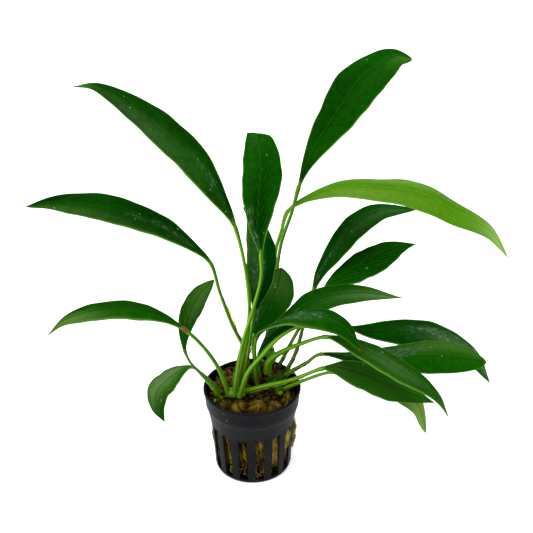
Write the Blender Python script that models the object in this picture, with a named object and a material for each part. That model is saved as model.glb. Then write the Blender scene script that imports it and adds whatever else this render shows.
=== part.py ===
"""Potted anubias: a slotted net pot, its rock wool, two short rhizomes, and nineteen leaves on stalks.

The origin is the centre of the pot's underside, +Z is up, and the pot's front faces -Y.
"""

import math
from collections import namedtuple

import bmesh
import bpy
import numpy as np
from mathutils import Matrix, Vector

# Units
MM = 0.001

# Pot: its lip, the plain band below it, the waist under the band, and the slotted wall down to the foot
POT_HEIGHT = 53 * MM
LIP_RADIUS = 27.5 * MM
LIP_ROUND = 0.5 * MM
LIP_DEPTH = 2.2 * MM
BAND_RADIUS = 26.4 * MM
BAND_BOTTOM = 42.6 * MM
BAND_STEP = 0.7 * MM
WAIST_RADIUS = 25.3 * MM
WAIST_HEIGHT = 36 * MM
WALL_RADIUS = 24 * MM
WALL_TOP = 34 * MM
FOOT_RADIUS = 21.9 * MM
FOOT_HEIGHT = 2.2 * MM
WALL = 1.0 * MM
FLOOR = 1.2 * MM
POT_SIDES = 45
SLOT_COUNT = 15
SLOT_SHARE = 0.53
SLOT_BOTTOM = 2.5 * MM
SLOT_TOP = 31.5 * MM
FIRST_SLOT = math.radians(-13.6)
DRAIN_COUNT = 6
DRAIN_LENGTH = 8 * MM
DRAIN_WIDTH = 2.6 * MM
DRAIN_MIDDLE = 11 * MM
CUTTER_INNER = 17 * MM
CUTTER_OUTER = 30 * MM

# Wool
WOOL_SECTORS = 24
WOOL_RINGS = 6
WOOL_TOP = 48 * MM
GAP = 0.3 * MM
WOOL_CLEARANCE = 0.4 * MM
WOOL_FOOT = 2.0 * MM

# Stalks and leaves
STALK_STEPS = 8
STALK_FOOT = 1.5 * MM
STALK_TOP = 0.95 * MM
STALK_TAPER = 2.5
JOINT_SWELL = 1.3
BLADE_THICKNESS = 0.8 * MM
BLADE_END = 0.6 * MM
BLADE_STEPS = 9
BLADE_ACROSS = np.array([-1.0, -0.55, 0.0, 0.55, 1.0])
BASE_TAPER = 1.15
TAPER_GAIN = 1.5
DROOP = 0.1
JOINT_GAP = 0.7 * MM
SWELL_START = 0.88
SWELL_LENGTH = 0.08

# Rhizomes: the shares of a limb's length at which it has a ring of points, the girth of each ring,
# and how much room a stalk's foot has in the limb that it grows from
LIMB_SHARES = np.array([0.0, 0.12, 0.35, 0.65, 0.88, 1.0])
LIMB_GIRTHS = np.array([0.6, 0.95, 1.05, 0.97, 1.0, 0.8])
FOOT_SHARES = np.array([0.0, 0.08, 0.2, 0.36])
FOOT_ROOM = 1.08

# Each leaf in millimetres: points that its stalk and its midrib run through, measured from the
# photograph with the depth judged, its greatest width and where along it that lies, the way its
# upper face looks at the base and at the tip, and its foot's girth as a share of a common one.
Leaf = namedtuple("Leaf", "stalk midrib width widest face face_tip foot")
LEAVES = {
    1: Leaf(
        [(-9, 0, 50), (-1.5, -2, 91), (-1, -1, 116), (-7.5, 6, 150)],
        [(-16, 12, 165), (-34, 23, 188), (-55, 31, 204), (-78, 35, 217), (-90, 35, 217)],
        23.5, 0.5, (0.3, -0.3, 0.9), (0.1, -0.2, 1), 1.0,
    ),
    2: Leaf(
        [(-2, 12, 50), (-3, 11, 68), (-10, 12, 84), (-17, 16, 104), (-22, 20, 121)],
        [(-31, 25, 128), (-50, 34, 137), (-73, 42, 143), (-94, 48, 145), (-113, 52, 144), (-128, 54, 140)],
        25, 0.57, (0.2, -0.2, 1), (0, -0.1, 1), 1.0,
    ),
    3: Leaf(
        [(-13, -5, 50), (-17, -6, 66), (-22.5, -8, 79), (-28, -9, 88), (-35.5, -10, 97)],
        [(-47, -12, 106.5), (-63, -14, 112), (-81, -17, 113), (-97, -19, 108.5), (-106, -20, 100.5)],
        16, 0.5, (0.1, -0.1, 1), (0, -0.1, 1), 1.1,
    ),
    4: Leaf(
        [(-17, -2, 50), (-26, -1, 60), (-33.5, 1, 67), (-37, 4, 73.5)],
        [(-37.5, 7, 79), (-36.5, 11, 86.5), (-33, 16, 94.5), (-28, 20, 101.5), (-20.5, 24, 108)],
        11.5, 0.6, (0.2, -0.3, 1), (0.2, -0.3, 1), 0.65,
    ),
    5: Leaf(
        [(-17, -8, 50), (-25, -12, 65.5), (-32, -17, 77.5)],
        [(-37, -20, 78), (-44, -24, 74.5), (-50, -28, 69), (-50.5, -31, 62), (-46.5, -34, 54)],
        17, 0.54, (-0.2, -0.2, 1), (-0.8, -0.5, 0.3), 0.65,
    ),
    6: Leaf(
        [(-10, -6, 50), (-8, -6, 65), (-4, -6, 87), (2, -5, 108), (6, -4, 125), (6, -2, 138)],
        [(5, 2, 149), (5.5, 6, 161), (7, 12, 176), (7, 20, 186), (5, 30, 192), (4, 39, 184)],
        20, 0.54, (0, -0.9, 0.4), (0.2, -0.2, 1), 1.0,
    ),
    7: Leaf(
        [(-5, 8, 50), (-2, 7, 69), (0, 6, 85), (2, 5, 98)],
        [(5.5, 6, 116), (6.3, 8, 132), (4, 10, 145), (1, 12, 153), (-3.5, 14, 157.5)],
        16, 0.5, (0.3, -0.9, 0.2), (0.2, -0.9, 0.3), 0.9,
    ),
    8: Leaf(
        [(3, 12, 51), (1, 12, 66), (1, 13, 77)],
        [(7, 16, 89), (12, 17, 100), (15.5, 19, 109), (17, 21, 117)],
        21, 0.62, (-0.1, -0.7, 0.7), (0, -0.7, 0.7), 0.8,
    ),
    9: Leaf(
        [(10, 18, 53), (13, 28, 92), (17, 31, 126), (23, 31, 146), (27, 31, 162)],
        [
            (31, 33, 173), (37.5, 37, 184), (51.5, 47, 202.5), (59, 52, 212),
            (69.5, 58, 219), (79, 62, 223), (89, 64, 221),
        ],
        27, 0.64, (-0.2, -0.6, 0.8), (-0.1, -0.3, 1), 1.0,
    ),
    10: Leaf(
        [(6, 16, 53), (11, 24, 87), (14, 25, 125), (17, 23, 138), (21, 19, 153)],
        [
            (30, 18, 160), (48, 16, 167), (68, 12, 168), (89, 8, 166),
            (107.5, 5, 157), (125, 1, 148), (135.5, -2, 134),
        ],
        27, 0.53, (-0.1, 0, 1), (0.3, -0.2, 1), 1.0,
    ),
    11: Leaf(
        [(17, 12, 50), (24, 16, 61), (29, 19, 78), (35, 23, 101)],
        [(38.5, 26, 110), (44.5, 29, 119), (55.5, 34, 133), (71, 41, 141), (95, 50, 138)],
        17, 0.52, (-0.1, -0.2, 1), (0, -0.2, 1), 0.9,
    ),
    12: Leaf(
        [(13, 15, 50), (18, 13, 63), (27, 14, 82), (41, 18, 105)],
        [(48, 21, 109), (57, 24, 113), (74, 29, 121), (83, 33, 123), (93, 36, 123)],
        22, 0.47, (-0.2, -0.2, 1), (0, -0.2, 1), 0.9,
    ),
    13: Leaf(
        [(6, 7, 51), (4, 6, 62), (4, 5, 70)],
        [(11, 4, 84), (19, 4, 92), (30, 3, 103), (41, 2, 109), (58, 0, 112.5), (81, -3, 111)],
        19, 0.49, (-0.4, -0.2, 0.9), (0, -0.2, 1), 0.9,
    ),
    14: Leaf(
        [(3, 4, 51), (2, 2, 65), (3, -1, 85)],
        [
            (8, -5, 94), (16, -9, 101), (24, -14, 107), (33, -20, 110),
            (41, -26, 111), (49, -32, 109), (56, -38, 101),
        ],
        21, 0.5, (-0.4, 0.5, 0.8), (0.3, -0.4, 1), 0.9,
    ),
    15: Leaf(
        [(-7, -7, 50), (-2, -8, 67), (6, -9, 79), (15, -10, 91), (25, -10, 98), (38, -4, 98), (52, 8, 86.5)],
        [(65, 17, 77.5), (87, 25, 71.5), (111, 27, 65), (123, 27, 58), (132.5, 27, 50), (141, 26, 35)],
        25, 0.59, (0.2, -0.2, 0.9), (0.5, -0.2, 0.8), 1.05,
    ),
    16: Leaf(
        [(15, 9, 51), (24, 8, 58), (31, 6, 64), (38, 5, 70)],
        [(55, 3, 69.5), (76, -2, 71.5), (94, -6, 75.5), (111, -9, 76.5), (128, -11, 74.5)],
        23, 0.67, (0.1, -0.3, 1), (0.1, -0.3, 1), 1.0,
    ),
    17: Leaf(
        [(8.8, 6, 58), (9.6, 3.5, 66), (13, 1.5, 71.5), (18.5, -1, 77), (27, -4.5, 83.5), (41, -11, 92)],
        [(51, -16, 92), (65, -24, 89), (79, -31, 83), (92, -37, 76.5), (98, -41, 71.5), (103, -44, 62.5)],
        18, 0.44, (0.1, 0, 1), (0.5, -0.3, 0.8), 1.7,
    ),
    18: Leaf(
        [(-6, -3, 50.5), (6, -7, 57), (23, -10, 64), (39, -13, 73)],
        [(46, -16, 75.5), (61, -20, 73), (71, -23, 70), (84, -26, 65.5), (98, -29, 61)],
        21, 0.48, (0.1, -0.2, 1), (0.3, -0.3, 1), 1.2,
    ),
    19: Leaf(
        [(18, -1, 51), (30, -5, 60), (44, -8, 67)],
        [(54, -9, 67), (66, -11, 64), (77, -13, 60), (86, -15, 55), (92, -17, 49), (96.5, -20, 34)],
        15.5, 0.62, (0.2, 0, 1), (0.8, -0.4, 0.5), 0.9,
    ),
}

# Rhizomes and cut ends, in millimetres: where each limb starts and ends, and its two radii.
RHIZOME_LEFT = ((-14, -4.6, 51.2), (-4, -3.6, 51.4), 2.8, 3.3)
RHIZOME_RIGHT = [
    ((0, 9, 51.5), (18, 8, 52.5), 3.8, 4.6),
    ((8.5, 9, 53), (10.3, 12, 71), 4.3, 2.9),
    ((11, 8, 52), (16, -5.5, 51.5), 3.2, 2.2),
]
CUT_STALK = ((-18.3, -11.8, 51.3), (-20.5, -13, 52.3), 1.2, 1.1)
OLD_STALK = ((-11, 4, 50.5), (-6.5, 5, 73), 1.1, 0.7)


def clear_scene():
    """Removes whatever the open scene holds."""
    for obj in list(bpy.data.objects):
        bpy.data.objects.remove(obj, do_unlink=True)


def material(name, colour, roughness, metallic=0.0):
    """A Principled material with one colour."""
    made = bpy.data.materials.new(name)
    made.use_nodes = True
    shader = made.node_tree.nodes["Principled BSDF"]
    shader.inputs["Base Color"].default_value = (*colour, 1.0)
    shader.inputs["Roughness"].default_value = roughness
    shader.inputs["Metallic"].default_value = metallic
    return made


def link(name, data, look):
    """A named object for the data, with its material, in the scene."""
    obj = bpy.data.objects.new(name, data)
    data.materials.append(look)
    bpy.context.scene.collection.objects.link(obj)
    return obj


def mesh_from(name, points, faces):
    """A smooth-shaded mesh with its faces turned outward."""
    mesh = bpy.data.meshes.new(name)
    mesh.from_pydata([tuple(point) for point in points], [], faces)
    shape = bmesh.new()
    shape.from_mesh(mesh)
    bmesh.ops.recalc_face_normals(shape, faces=shape.faces)
    shape.to_mesh(mesh)
    shape.free()
    mesh.shade_smooth()
    mesh.set_sharp_from_angle(angle=math.radians(40))
    return mesh


def cut(target, cutter):
    """Takes the cutter's shape out of the target."""
    cutter.hide_render = True
    cutter.display_type = "WIRE"
    step = target.modifiers.new("cut " + cutter.name, "BOOLEAN")
    step.operation = "DIFFERENCE"
    step.solver = "EXACT"
    step.object = cutter


def join(target, other):
    """Adds the other shape to the target."""
    cut(target, other)
    target.modifiers[-1].operation = "UNION"


def smooth_path(points):
    """A dense smooth curve through the points, in metres, and where on it each point lies."""
    points = np.array(points, float) * MM
    knots = np.append(0, np.cumsum(np.sqrt(np.linalg.norm(np.diff(points, axis=0), axis=1))))
    slopes = np.gradient(points, knots, axis=0, edge_order=1)
    fine = 40
    dense = []
    for start in range(len(points) - 1):
        span = knots[start + 1] - knots[start]
        u = np.arange(fine)[:, None] / fine
        dense.append(
            (2 * u**3 - 3 * u**2 + 1) * points[start]
            + (u**3 - 2 * u**2 + u) * span * slopes[start]
            + (3 * u**2 - 2 * u**3) * points[start + 1]
            + (u**3 - u**2) * span * slopes[start + 1]
        )
    dense.append(points[-1:])
    return np.vstack(dense), fine


def even_points(curve, shares):
    """Points at the given shares of the curve's length."""
    lengths = np.append(0, np.cumsum(np.linalg.norm(np.diff(curve, axis=0), axis=1)))
    wanted = np.asarray(shares) * lengths[-1]
    return np.stack([np.interp(wanted, lengths, curve[:, axis]) for axis in range(3)], axis=1)


def unit(vectors):
    """The vectors, each one long."""
    return vectors / np.linalg.norm(vectors, axis=-1, keepdims=True)


def leaf_curves(leaf):
    """The stalk's curve and the midrib's curve, which are one smooth curve parted at the joint."""
    curve, fine = smooth_path(leaf.stalk + leaf.midrib)
    joint = (len(leaf.stalk) - 1) * fine
    return curve[: joint + 1], curve[joint:]


def tube(name, points, radii, sides_level, look):
    """A tube through the points with its own radius at each, closed at both ends."""
    curve = bpy.data.curves.new(name, "CURVE")
    curve.dimensions = "3D"
    curve.bevel_depth = 1.0
    curve.bevel_resolution = sides_level
    curve.use_fill_caps = True
    spline = curve.splines.new("POLY")
    spline.points.add(len(points) - 1)
    for spot, place, radius in zip(spline.points, points, radii):
        spot.co = (*place, 1.0)
        spot.radius = radius
    return link(name, curve, look)


def mesh_tube(name, points, radii, sides, look):
    """A tube like the one above as a mesh, which a Boolean can use."""
    points = np.asarray(points)
    along = unit(np.gradient(points, axis=0))
    side = unit(np.cross(along, (0.31, 0.95, 0.02)))
    other = np.cross(along, side)
    turn = np.arange(sides) * 2 * np.pi / sides
    ring = side[:, None] * np.cos(turn)[:, None] + other[:, None] * np.sin(turn)[:, None]
    rings = points[:, None] + ring * np.asarray(radii)[:, None, None]
    last = (len(points) - 1) * sides
    faces = [list(range(sides))[::-1], [last + step for step in range(sides)]]
    for row in range(len(points) - 1):
        for step in range(sides):
            here = row * sides + step
            beside = row * sides + (step + 1) % sides
            faces.append([here, beside, beside + sides, here + sides])
    return link(name, mesh_from(name, rings.reshape(-1, 3), faces), look)


def stalk_radii(shares, girth):
    """Thick at the foot, slender above, swollen again at the joint below the blade."""
    foot = STALK_FOOT * girth
    top = STALK_TOP * min(0.5 + girth / 2, 1.05)
    radii = top + (foot - top) * (1 - shares) ** STALK_TAPER
    return radii * (1 + (JOINT_SWELL - 1) * np.clip((shares - SWELL_START) / SWELL_LENGTH, 0, 1))


def build_stalk(number, leaf, look):
    """One leaf stalk, from its foot on the rhizome to the joint under its blade."""
    curve, _ = leaf_curves(leaf)
    shares = np.linspace(0, 1, STALK_STEPS + 1)
    points = even_points(curve, shares)
    return tube(f"stalk_{number:02d}", points, stalk_radii(shares, leaf.foot), 1, look)


def blade_outline(shares, widest):
    """The half width along a lance-shaped blade, as a share of the greatest half width.

    A blade that is widest nearer its tip narrows in a longer taper to its base.
    """
    base_taper = BASE_TAPER + TAPER_GAIN * (widest - 0.5)
    tip_taper = base_taper * (1 - widest) / widest
    top = widest**base_taper * (1 - widest) ** tip_taper
    return shares**base_taper * (1 - shares) ** tip_taper / top


def build_blade(number, leaf, look):
    """One leaf blade: a sheet bent along its midrib, drooping to its sides, given its thickness."""
    _, curve = leaf_curves(leaf)
    start = JOINT_GAP / np.linalg.norm(np.diff(curve, axis=0), axis=1).sum()
    shares = np.linspace(0, 1, BLADE_STEPS + 1)
    centre = even_points(curve, start + (1 - start) * shares)
    along = unit(np.gradient(centre, axis=0))
    face = np.array(leaf.face) * (1 - shares[:, None]) + np.array(leaf.face_tip) * shares[:, None]
    up = unit(face - (face * along).sum(axis=1, keepdims=True) * along)
    side = np.cross(along, up)
    half = leaf.width * MM / 2 * blade_outline(shares, leaf.widest) + BLADE_END
    across = BLADE_ACROSS[None, :, None]
    width = half[:, None, None]
    sheet = centre[:, None] + side[:, None] * across * width
    sheet = sheet - up[:, None] * DROOP * (across**2 - 0.4) * width
    columns = len(BLADE_ACROSS)
    faces = []
    for row in range(BLADE_STEPS):
        for column in range(columns - 1):
            here = row * columns + column
            faces.append([here, here + 1, here + columns + 1, here + columns])
    mesh = bpy.data.meshes.new(f"leaf_{number:02d}")
    mesh.from_pydata([tuple(point) for point in sheet.reshape(-1, 3)], [], faces)
    mesh.shade_smooth()
    blade = link(f"leaf_{number:02d}", mesh, look)
    solid = blade.modifiers.new("thickness", "SOLIDIFY")
    solid.thickness = BLADE_THICKNESS
    solid.offset = 0.0
    return blade


def pot_profile():
    """The pot wall's outline as radius and height, down the outside and up the inside."""
    outside = [
        (LIP_RADIUS - LIP_ROUND, POT_HEIGHT),
        (LIP_RADIUS, POT_HEIGHT - LIP_ROUND),
        (LIP_RADIUS, POT_HEIGHT - LIP_DEPTH + LIP_ROUND),
        (LIP_RADIUS - LIP_ROUND, POT_HEIGHT - LIP_DEPTH),
        (BAND_RADIUS, BAND_BOTTOM),
        (BAND_RADIUS - BAND_STEP, BAND_BOTTOM - BAND_STEP),
        (WAIST_RADIUS, WAIST_HEIGHT),
        (WALL_RADIUS, WALL_TOP),
        (FOOT_RADIUS, FOOT_HEIGHT),
        (FOOT_RADIUS - LIP_ROUND, LIP_ROUND),
        (FOOT_RADIUS - 2 * LIP_ROUND, 0.0),
    ]
    inside = [
        (FOOT_RADIUS - WALL, FLOOR),
        (WALL_RADIUS - WALL, WALL_TOP),
        (WAIST_RADIUS - WALL, WAIST_HEIGHT),
        (LIP_RADIUS - LIP_ROUND - WALL, POT_HEIGHT - LIP_DEPTH),
        (LIP_RADIUS - LIP_ROUND - WALL, POT_HEIGHT),
    ]
    return outside + [(0.0, 0.0), (0.0, FLOOR)] + inside


def turned(name, profile, sides, look):
    """A solid of revolution about +Z, whose profile may touch the axis."""
    shape = bmesh.new()
    corners = [shape.verts.new((radius, 0.0, height)) for radius, height in profile]
    edges = [shape.edges.new((a, b)) for a, b in zip(corners, corners[1:] + corners[:1])]
    bmesh.ops.spin(
        shape,
        geom=corners + edges,
        cent=(0, 0, 0),
        axis=(0, 0, 1),
        angle=2 * math.pi,
        steps=sides,
        use_merge=True,
    )
    bmesh.ops.remove_doubles(shape, verts=shape.verts, dist=0.01 * MM)
    bmesh.ops.dissolve_degenerate(shape, edges=shape.edges, dist=0.01 * MM)
    bmesh.ops.recalc_face_normals(shape, faces=shape.faces)
    mesh = bpy.data.meshes.new(name)
    shape.to_mesh(mesh)
    shape.free()
    mesh.shade_smooth()
    mesh.set_sharp_from_angle(angle=math.radians(25))
    return link(name, mesh, look)


def box(name, size, place, turn, look):
    """A box of the given size, moved to the place and then turned about +Z."""
    shape = bmesh.new()
    bmesh.ops.create_cube(shape, size=1.0)
    where = Matrix.Rotation(turn, 4, "Z") @ Matrix.Translation(Vector(place))
    bmesh.ops.transform(shape, matrix=where @ Matrix.Diagonal((*size, 1.0)), verts=shape.verts)
    mesh = bpy.data.meshes.new(name)
    shape.to_mesh(mesh)
    shape.free()
    return link(name, mesh, look)


def slot_cutter(number, look):
    """The wedge that one wall slot takes out, narrower towards the pot's foot."""
    turn = FIRST_SLOT - math.pi / 2 + number * 2 * math.pi / SLOT_COUNT
    half = math.pi / SLOT_COUNT * SLOT_SHARE
    points = []
    for height in (SLOT_BOTTOM, SLOT_TOP):
        for angle in (turn - half, turn + half):
            for radius in (CUTTER_INNER, CUTTER_OUTER):
                points.append((radius * math.cos(angle), radius * math.sin(angle), height))
    faces = [[0, 1, 3, 2], [4, 6, 7, 5], [0, 4, 5, 1], [2, 3, 7, 6], [0, 2, 6, 4], [1, 5, 7, 3]]
    return link(f"slot {number}", mesh_from(f"slot {number}", points, faces), look)


def build_pot(look):
    """The slotted net pot with a drained floor."""
    pot = turned("net_pot", pot_profile(), POT_SIDES, look)
    for number in range(SLOT_COUNT):
        cut(pot, slot_cutter(number, look))
    size = (DRAIN_LENGTH, DRAIN_WIDTH, 4 * FLOOR)
    for number in range(DRAIN_COUNT):
        turn = number * 2 * math.pi / DRAIN_COUNT
        cut(pot, box(f"drain {number}", size, (DRAIN_MIDDLE, 0, FLOOR / 2), turn, look))
    return pot


def wool_height(x, y):
    """The lumpy top of the rock wool, high at the front and the back left."""
    front = 2.0 * np.exp(-(((x - 4 * MM) / (16 * MM)) ** 2 + ((y + 17 * MM) / (7 * MM)) ** 2))
    left_lump = 1.2 * np.exp(-(((x + 8 * MM) / (6 * MM)) ** 2 + ((y + 17 * MM) / (5 * MM)) ** 2))
    back = 4.0 * np.exp(-(((x + 14 * MM) / (12 * MM)) ** 2 + ((y - 17 * MM) / (9 * MM)) ** 2))
    crowns = -1.5 * np.exp(-(((x - 9 * MM) / (10 * MM)) ** 2 + ((y - 8 * MM) / (7 * MM)) ** 2))
    crowns -= 1.0 * np.exp(-(((x + 9 * MM) / (8 * MM)) ** 2 + ((y + 4 * MM) / (5 * MM)) ** 2))
    ripple = 0.4 * np.sin(x / (2.9 * MM) + 0.7) * np.sin(y / (2.3 * MM) + 0.4)
    return WOOL_TOP + (front + left_lump + back + crowns + ripple) * MM


def build_wool(look):
    """The plug of rock wool: it follows the pot's inside and has a lumpy top."""
    turn = np.arange(WOOL_SECTORS) * 2 * np.pi / WOOL_SECTORS
    inner = WALL + WOOL_CLEARANCE
    points = []
    for ring in range(1, WOOL_RINGS + 1):
        reach = (WAIST_RADIUS - inner) * ring / WOOL_RINGS
        x = reach * np.cos(turn)
        y = reach * np.sin(turn)
        points.append(np.stack([x, y, wool_height(x, y)], axis=1))
    bottom = FLOOR + WOOL_CLEARANCE
    side = [
        (WAIST_RADIUS - inner, WAIST_HEIGHT + WOOL_CLEARANCE),
        (WALL_RADIUS - inner, WALL_TOP),
        (FOOT_RADIUS - inner, bottom + WOOL_CLEARANCE),
        (FOOT_RADIUS - inner - WOOL_FOOT, bottom),
    ]
    for reach, height in side:
        points.append(
            np.stack([reach * np.cos(turn), reach * np.sin(turn), np.full_like(turn, height)], axis=1)
        )
    rings = len(points)
    points = np.vstack(points + [[[0, 0, wool_height(0.0, 0.0)]], [[0, 0, bottom]]])
    top = rings * WOOL_SECTORS
    faces = []
    for step in range(WOOL_SECTORS):
        beside = (step + 1) % WOOL_SECTORS
        last = (rings - 1) * WOOL_SECTORS
        faces.append([top, step, beside])
        faces.append([top + 1, last + beside, last + step])
        for ring in range(rings - 1):
            here = ring * WOOL_SECTORS
            below = here + WOOL_SECTORS
            faces.append([here + step, below + step, below + beside, here + beside])
    return link("rock_wool", mesh_from("rock_wool", points, faces), look)


def limb(name, ends, look, sides=10):
    """A rounded length of stem between two places, with a radius at each."""
    first, last, radius_first, radius_last = ends
    points = np.array(first) + (np.array(last) - np.array(first)) * LIMB_SHARES[:, None]
    radii = (radius_first + (radius_last - radius_first) * LIMB_SHARES) * LIMB_GIRTHS
    return mesh_tube(name, points * MM, radii * MM, sides, look)


def clear_of_stalks(body, numbers, look):
    """Cuts the stalks' feet out of a rhizome, each with its gap."""
    for number in numbers:
        curve, _ = leaf_curves(LEAVES[number])
        points = even_points(curve, FOOT_SHARES)
        points[0] -= unit(points[1] - points[0]) * 3 * GAP
        radii = stalk_radii(FOOT_SHARES, LEAVES[number].foot) * FOOT_ROOM + GAP
        cut(body, mesh_tube(f"foot {number} {body.name}", points, radii, 8, look))


def build_rhizomes(look):
    """The left knot and the right rhizome with its stump and knob."""
    left = limb("rhizome_left", RHIZOME_LEFT, look)
    clear_of_stalks(left, (1, 3, 4, 5, 6, 15, 18), look)
    right = limb("rhizome_right", RHIZOME_RIGHT[0], look)
    join(right, limb("stump", RHIZOME_RIGHT[1], look))
    join(right, limb("knob", RHIZOME_RIGHT[2], look))
    clear_of_stalks(right, (8, 9, 10, 11, 12, 13, 14, 16, 17, 19), look)


def main():
    """Builds every piece of the potted plant."""
    clear_scene()
    black = material("pot black", (0.012, 0.012, 0.014), 0.35)
    wool = material("rock wool", (0.075, 0.05, 0.018), 0.95)
    stem = material("rhizome green", (0.09, 0.2, 0.02), 0.5)
    stalk = material("stalk green", (0.1, 0.28, 0.02), 0.4)
    dark = material("leaf green", (0.012, 0.08, 0.012), 0.3)
    pale = material("young leaf green", (0.08, 0.3, 0.015), 0.35)
    build_pot(black)
    build_wool(wool)
    build_rhizomes(stem)
    limb("cut_stalk", CUT_STALK, stem, 6)
    limb("old_stalk", OLD_STALK, stem, 6)
    for number, leaf in LEAVES.items():
        build_stalk(number, leaf, stalk)
        build_blade(number, leaf, pale if number == 10 else dark)


main()
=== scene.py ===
"""Looks of the potted anubias: leaves, stalks, rhizomes, rock wool and slotted net pot, in studio light."""

import math
from collections import namedtuple

import bpy
import numpy as np
from mathutils import Matrix, Vector

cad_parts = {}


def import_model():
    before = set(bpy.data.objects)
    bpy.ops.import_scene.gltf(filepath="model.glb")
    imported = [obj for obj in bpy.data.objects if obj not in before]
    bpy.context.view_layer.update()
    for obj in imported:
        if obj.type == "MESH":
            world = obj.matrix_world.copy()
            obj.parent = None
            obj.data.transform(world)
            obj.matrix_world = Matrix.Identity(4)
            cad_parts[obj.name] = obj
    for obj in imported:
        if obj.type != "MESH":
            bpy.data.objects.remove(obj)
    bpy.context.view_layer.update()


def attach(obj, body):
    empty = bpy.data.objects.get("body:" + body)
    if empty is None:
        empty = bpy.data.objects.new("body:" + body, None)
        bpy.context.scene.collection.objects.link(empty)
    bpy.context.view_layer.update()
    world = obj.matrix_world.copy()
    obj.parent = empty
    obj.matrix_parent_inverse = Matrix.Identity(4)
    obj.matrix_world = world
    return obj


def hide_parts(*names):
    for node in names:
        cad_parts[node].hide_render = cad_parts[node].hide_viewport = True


MM = 0.001
TAU = 2 * np.pi

# A direction that nothing in the plant runs along
HELPER = (0.05, 1.0, 0.02)

# Camera: the photograph's square frame, its focal length in pixels, and its place in millimetres
IMAGE_SIDE = 533
FOCAL_PIXELS = 1000
SENSOR = 36.0
CAMERA_PLACE = (8.844, -462.61, 382.50)
CAMERA_PITCH = math.radians(28.7)
CAMERA_ROLL = math.radians(-0.57)

# Studio: the floor, and each light's name, place, target, width and watts
FLOOR_REACH = 6.0
FLOOR_GLOW = 0.25
SKY_STRENGTH = 0.3
LIGHTS = [
    ("overhead softbox", (0.0, 0.25, 1.4), (0, 0.25, 0.1), 2.6, 54.0),
    ("left softbox", (-1.0, -0.8, 1.0), (0, 0, 0.1), 1.0, 13.0),
    ("right softbox", (1.05, -0.7, 0.8), (0, 0, 0.1), 0.9, 9.0),
]

# Pot: its wall and floor in millimetres, its slots and drains, half a drain's steps round the pot,
# the slack in comparing places, and how wide its soft edges are
POT_WALL = 1.0
POT_FLOOR = 1.2
SLOT_COUNT = 15
SLOT_SHARE = 0.53
SLOT_BOTTOM = 2.5 * MM
SLOT_TOP = 31.5 * MM
FIRST_SLOT = math.radians(-13.6)
DRAIN_COUNT = 6
DRAIN_WIDTH = 2.6 * MM
DRAIN_START = 7 * MM
DRAIN_END = 15 * MM
DRAIN_STEPS = 4
SLACK = 0.01 * MM
SOFT_EDGE = 0.14 * MM

# Wool: its mean height, the reach of its top and of its loose fibres, and its side's radius by height
WOOL_TOP = 48 * MM
WOOL_REACH = 24 * MM
FIBRE_REACH = 23.6 * MM
WOOL_SIDE = [0, 2.2, 34, 36, 45, 53], [20.4, 20.7, 22.75, 24.0, 24.3, 24.9]

# Hills and hollows of the wool's top, and the lumps on it: place, two sizes and height in millimetres
WOOL_HILLS = [
    (4, -17, 16, 7, 2.0),
    (-8, -17, 6, 5, 1.2),
    (-14, 17, 12, 9, 4.0),
    (9, 8, 10, 7, -1.5),
    (-9, -4, 8, 5, -1.0),
]
WOOL_LUMPS = [
    (-7.2, -15.4, 4.6, 4.6, 2.6),
    (3.2, -15.4, 6.0, 5.6, 2.3),
    (12.6, -14.6, 4.6, 5.4, 1.8),
    (20.0, -5.5, 2.6, 7.5, 1.6),
    (-15.6, -11.0, 4.2, 3.8, 1.5),
    (-15.0, 11.0, 5.0, 6.0, 0.8),
]

# Tufts of pale strands on the wool's top: place, two sizes and count
PALE_TUFTS = [(20.2, -7.5, 0.6, 2.6, 90), (12.5, -15.5, 1.6, 1.6, 50), (-17, 8, 2.2, 3.5, 60)]

# Tufts that push out of the slots: the slot's number, lowest and highest place, count and reach
SLOT_TUFTS = [(4, 13, 31, 1000, 2.1), (3, 20, 31, 250, 0.4), (12, 18, 23, 160, 0.7)]

# The wool's colours in its hollows and on its ridges, partly the fibres' own tones and partly painted shade
# in the hollows and painted light on the ridges
WOOL_DARK = (0.006, 0.0038, 0.0002)
WOOL_LIGHT = (0.175, 0.115, 0.013)

# The slot where wool swells out, from how far right the golden painted light is full, and that painted
# light's colours
GOLDEN_SLOT = 4
PAINTED_LIGHT_REACH = 13 * MM
PAINTED_LIGHT_WOOL = (0.07, 0.045, 0.006), (0.42, 0.29, 0.07)

# Stalks and leaves
STALK_FOOT = 1.5 * MM
STALK_TOP = 0.95 * MM
STALK_TAPER = 2.5
JOINT_SWELL = 1.3
BASE_TAPER = 1.15
TAPER_GAIN = 1.5

# Blades: their grid; then droop, and in millimetres crease, quilt, ruffle, wave, rib, joint and thickness
BLADE_GRID = (130, 37)
DROOP = 0.1
CREASE = 0.3
QUILT = 0.03
RUFFLE = 0.25
WAVE = 0.024
RIB = 0.75
JOINT = 0.55
THICK_MIDDLE = 0.24
THICK_EDGE = 0.06

# How far along and across a blade each wet patch and each painted sheen patch reaches, as shares
SHINE = (0.28, 0.5)
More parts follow.
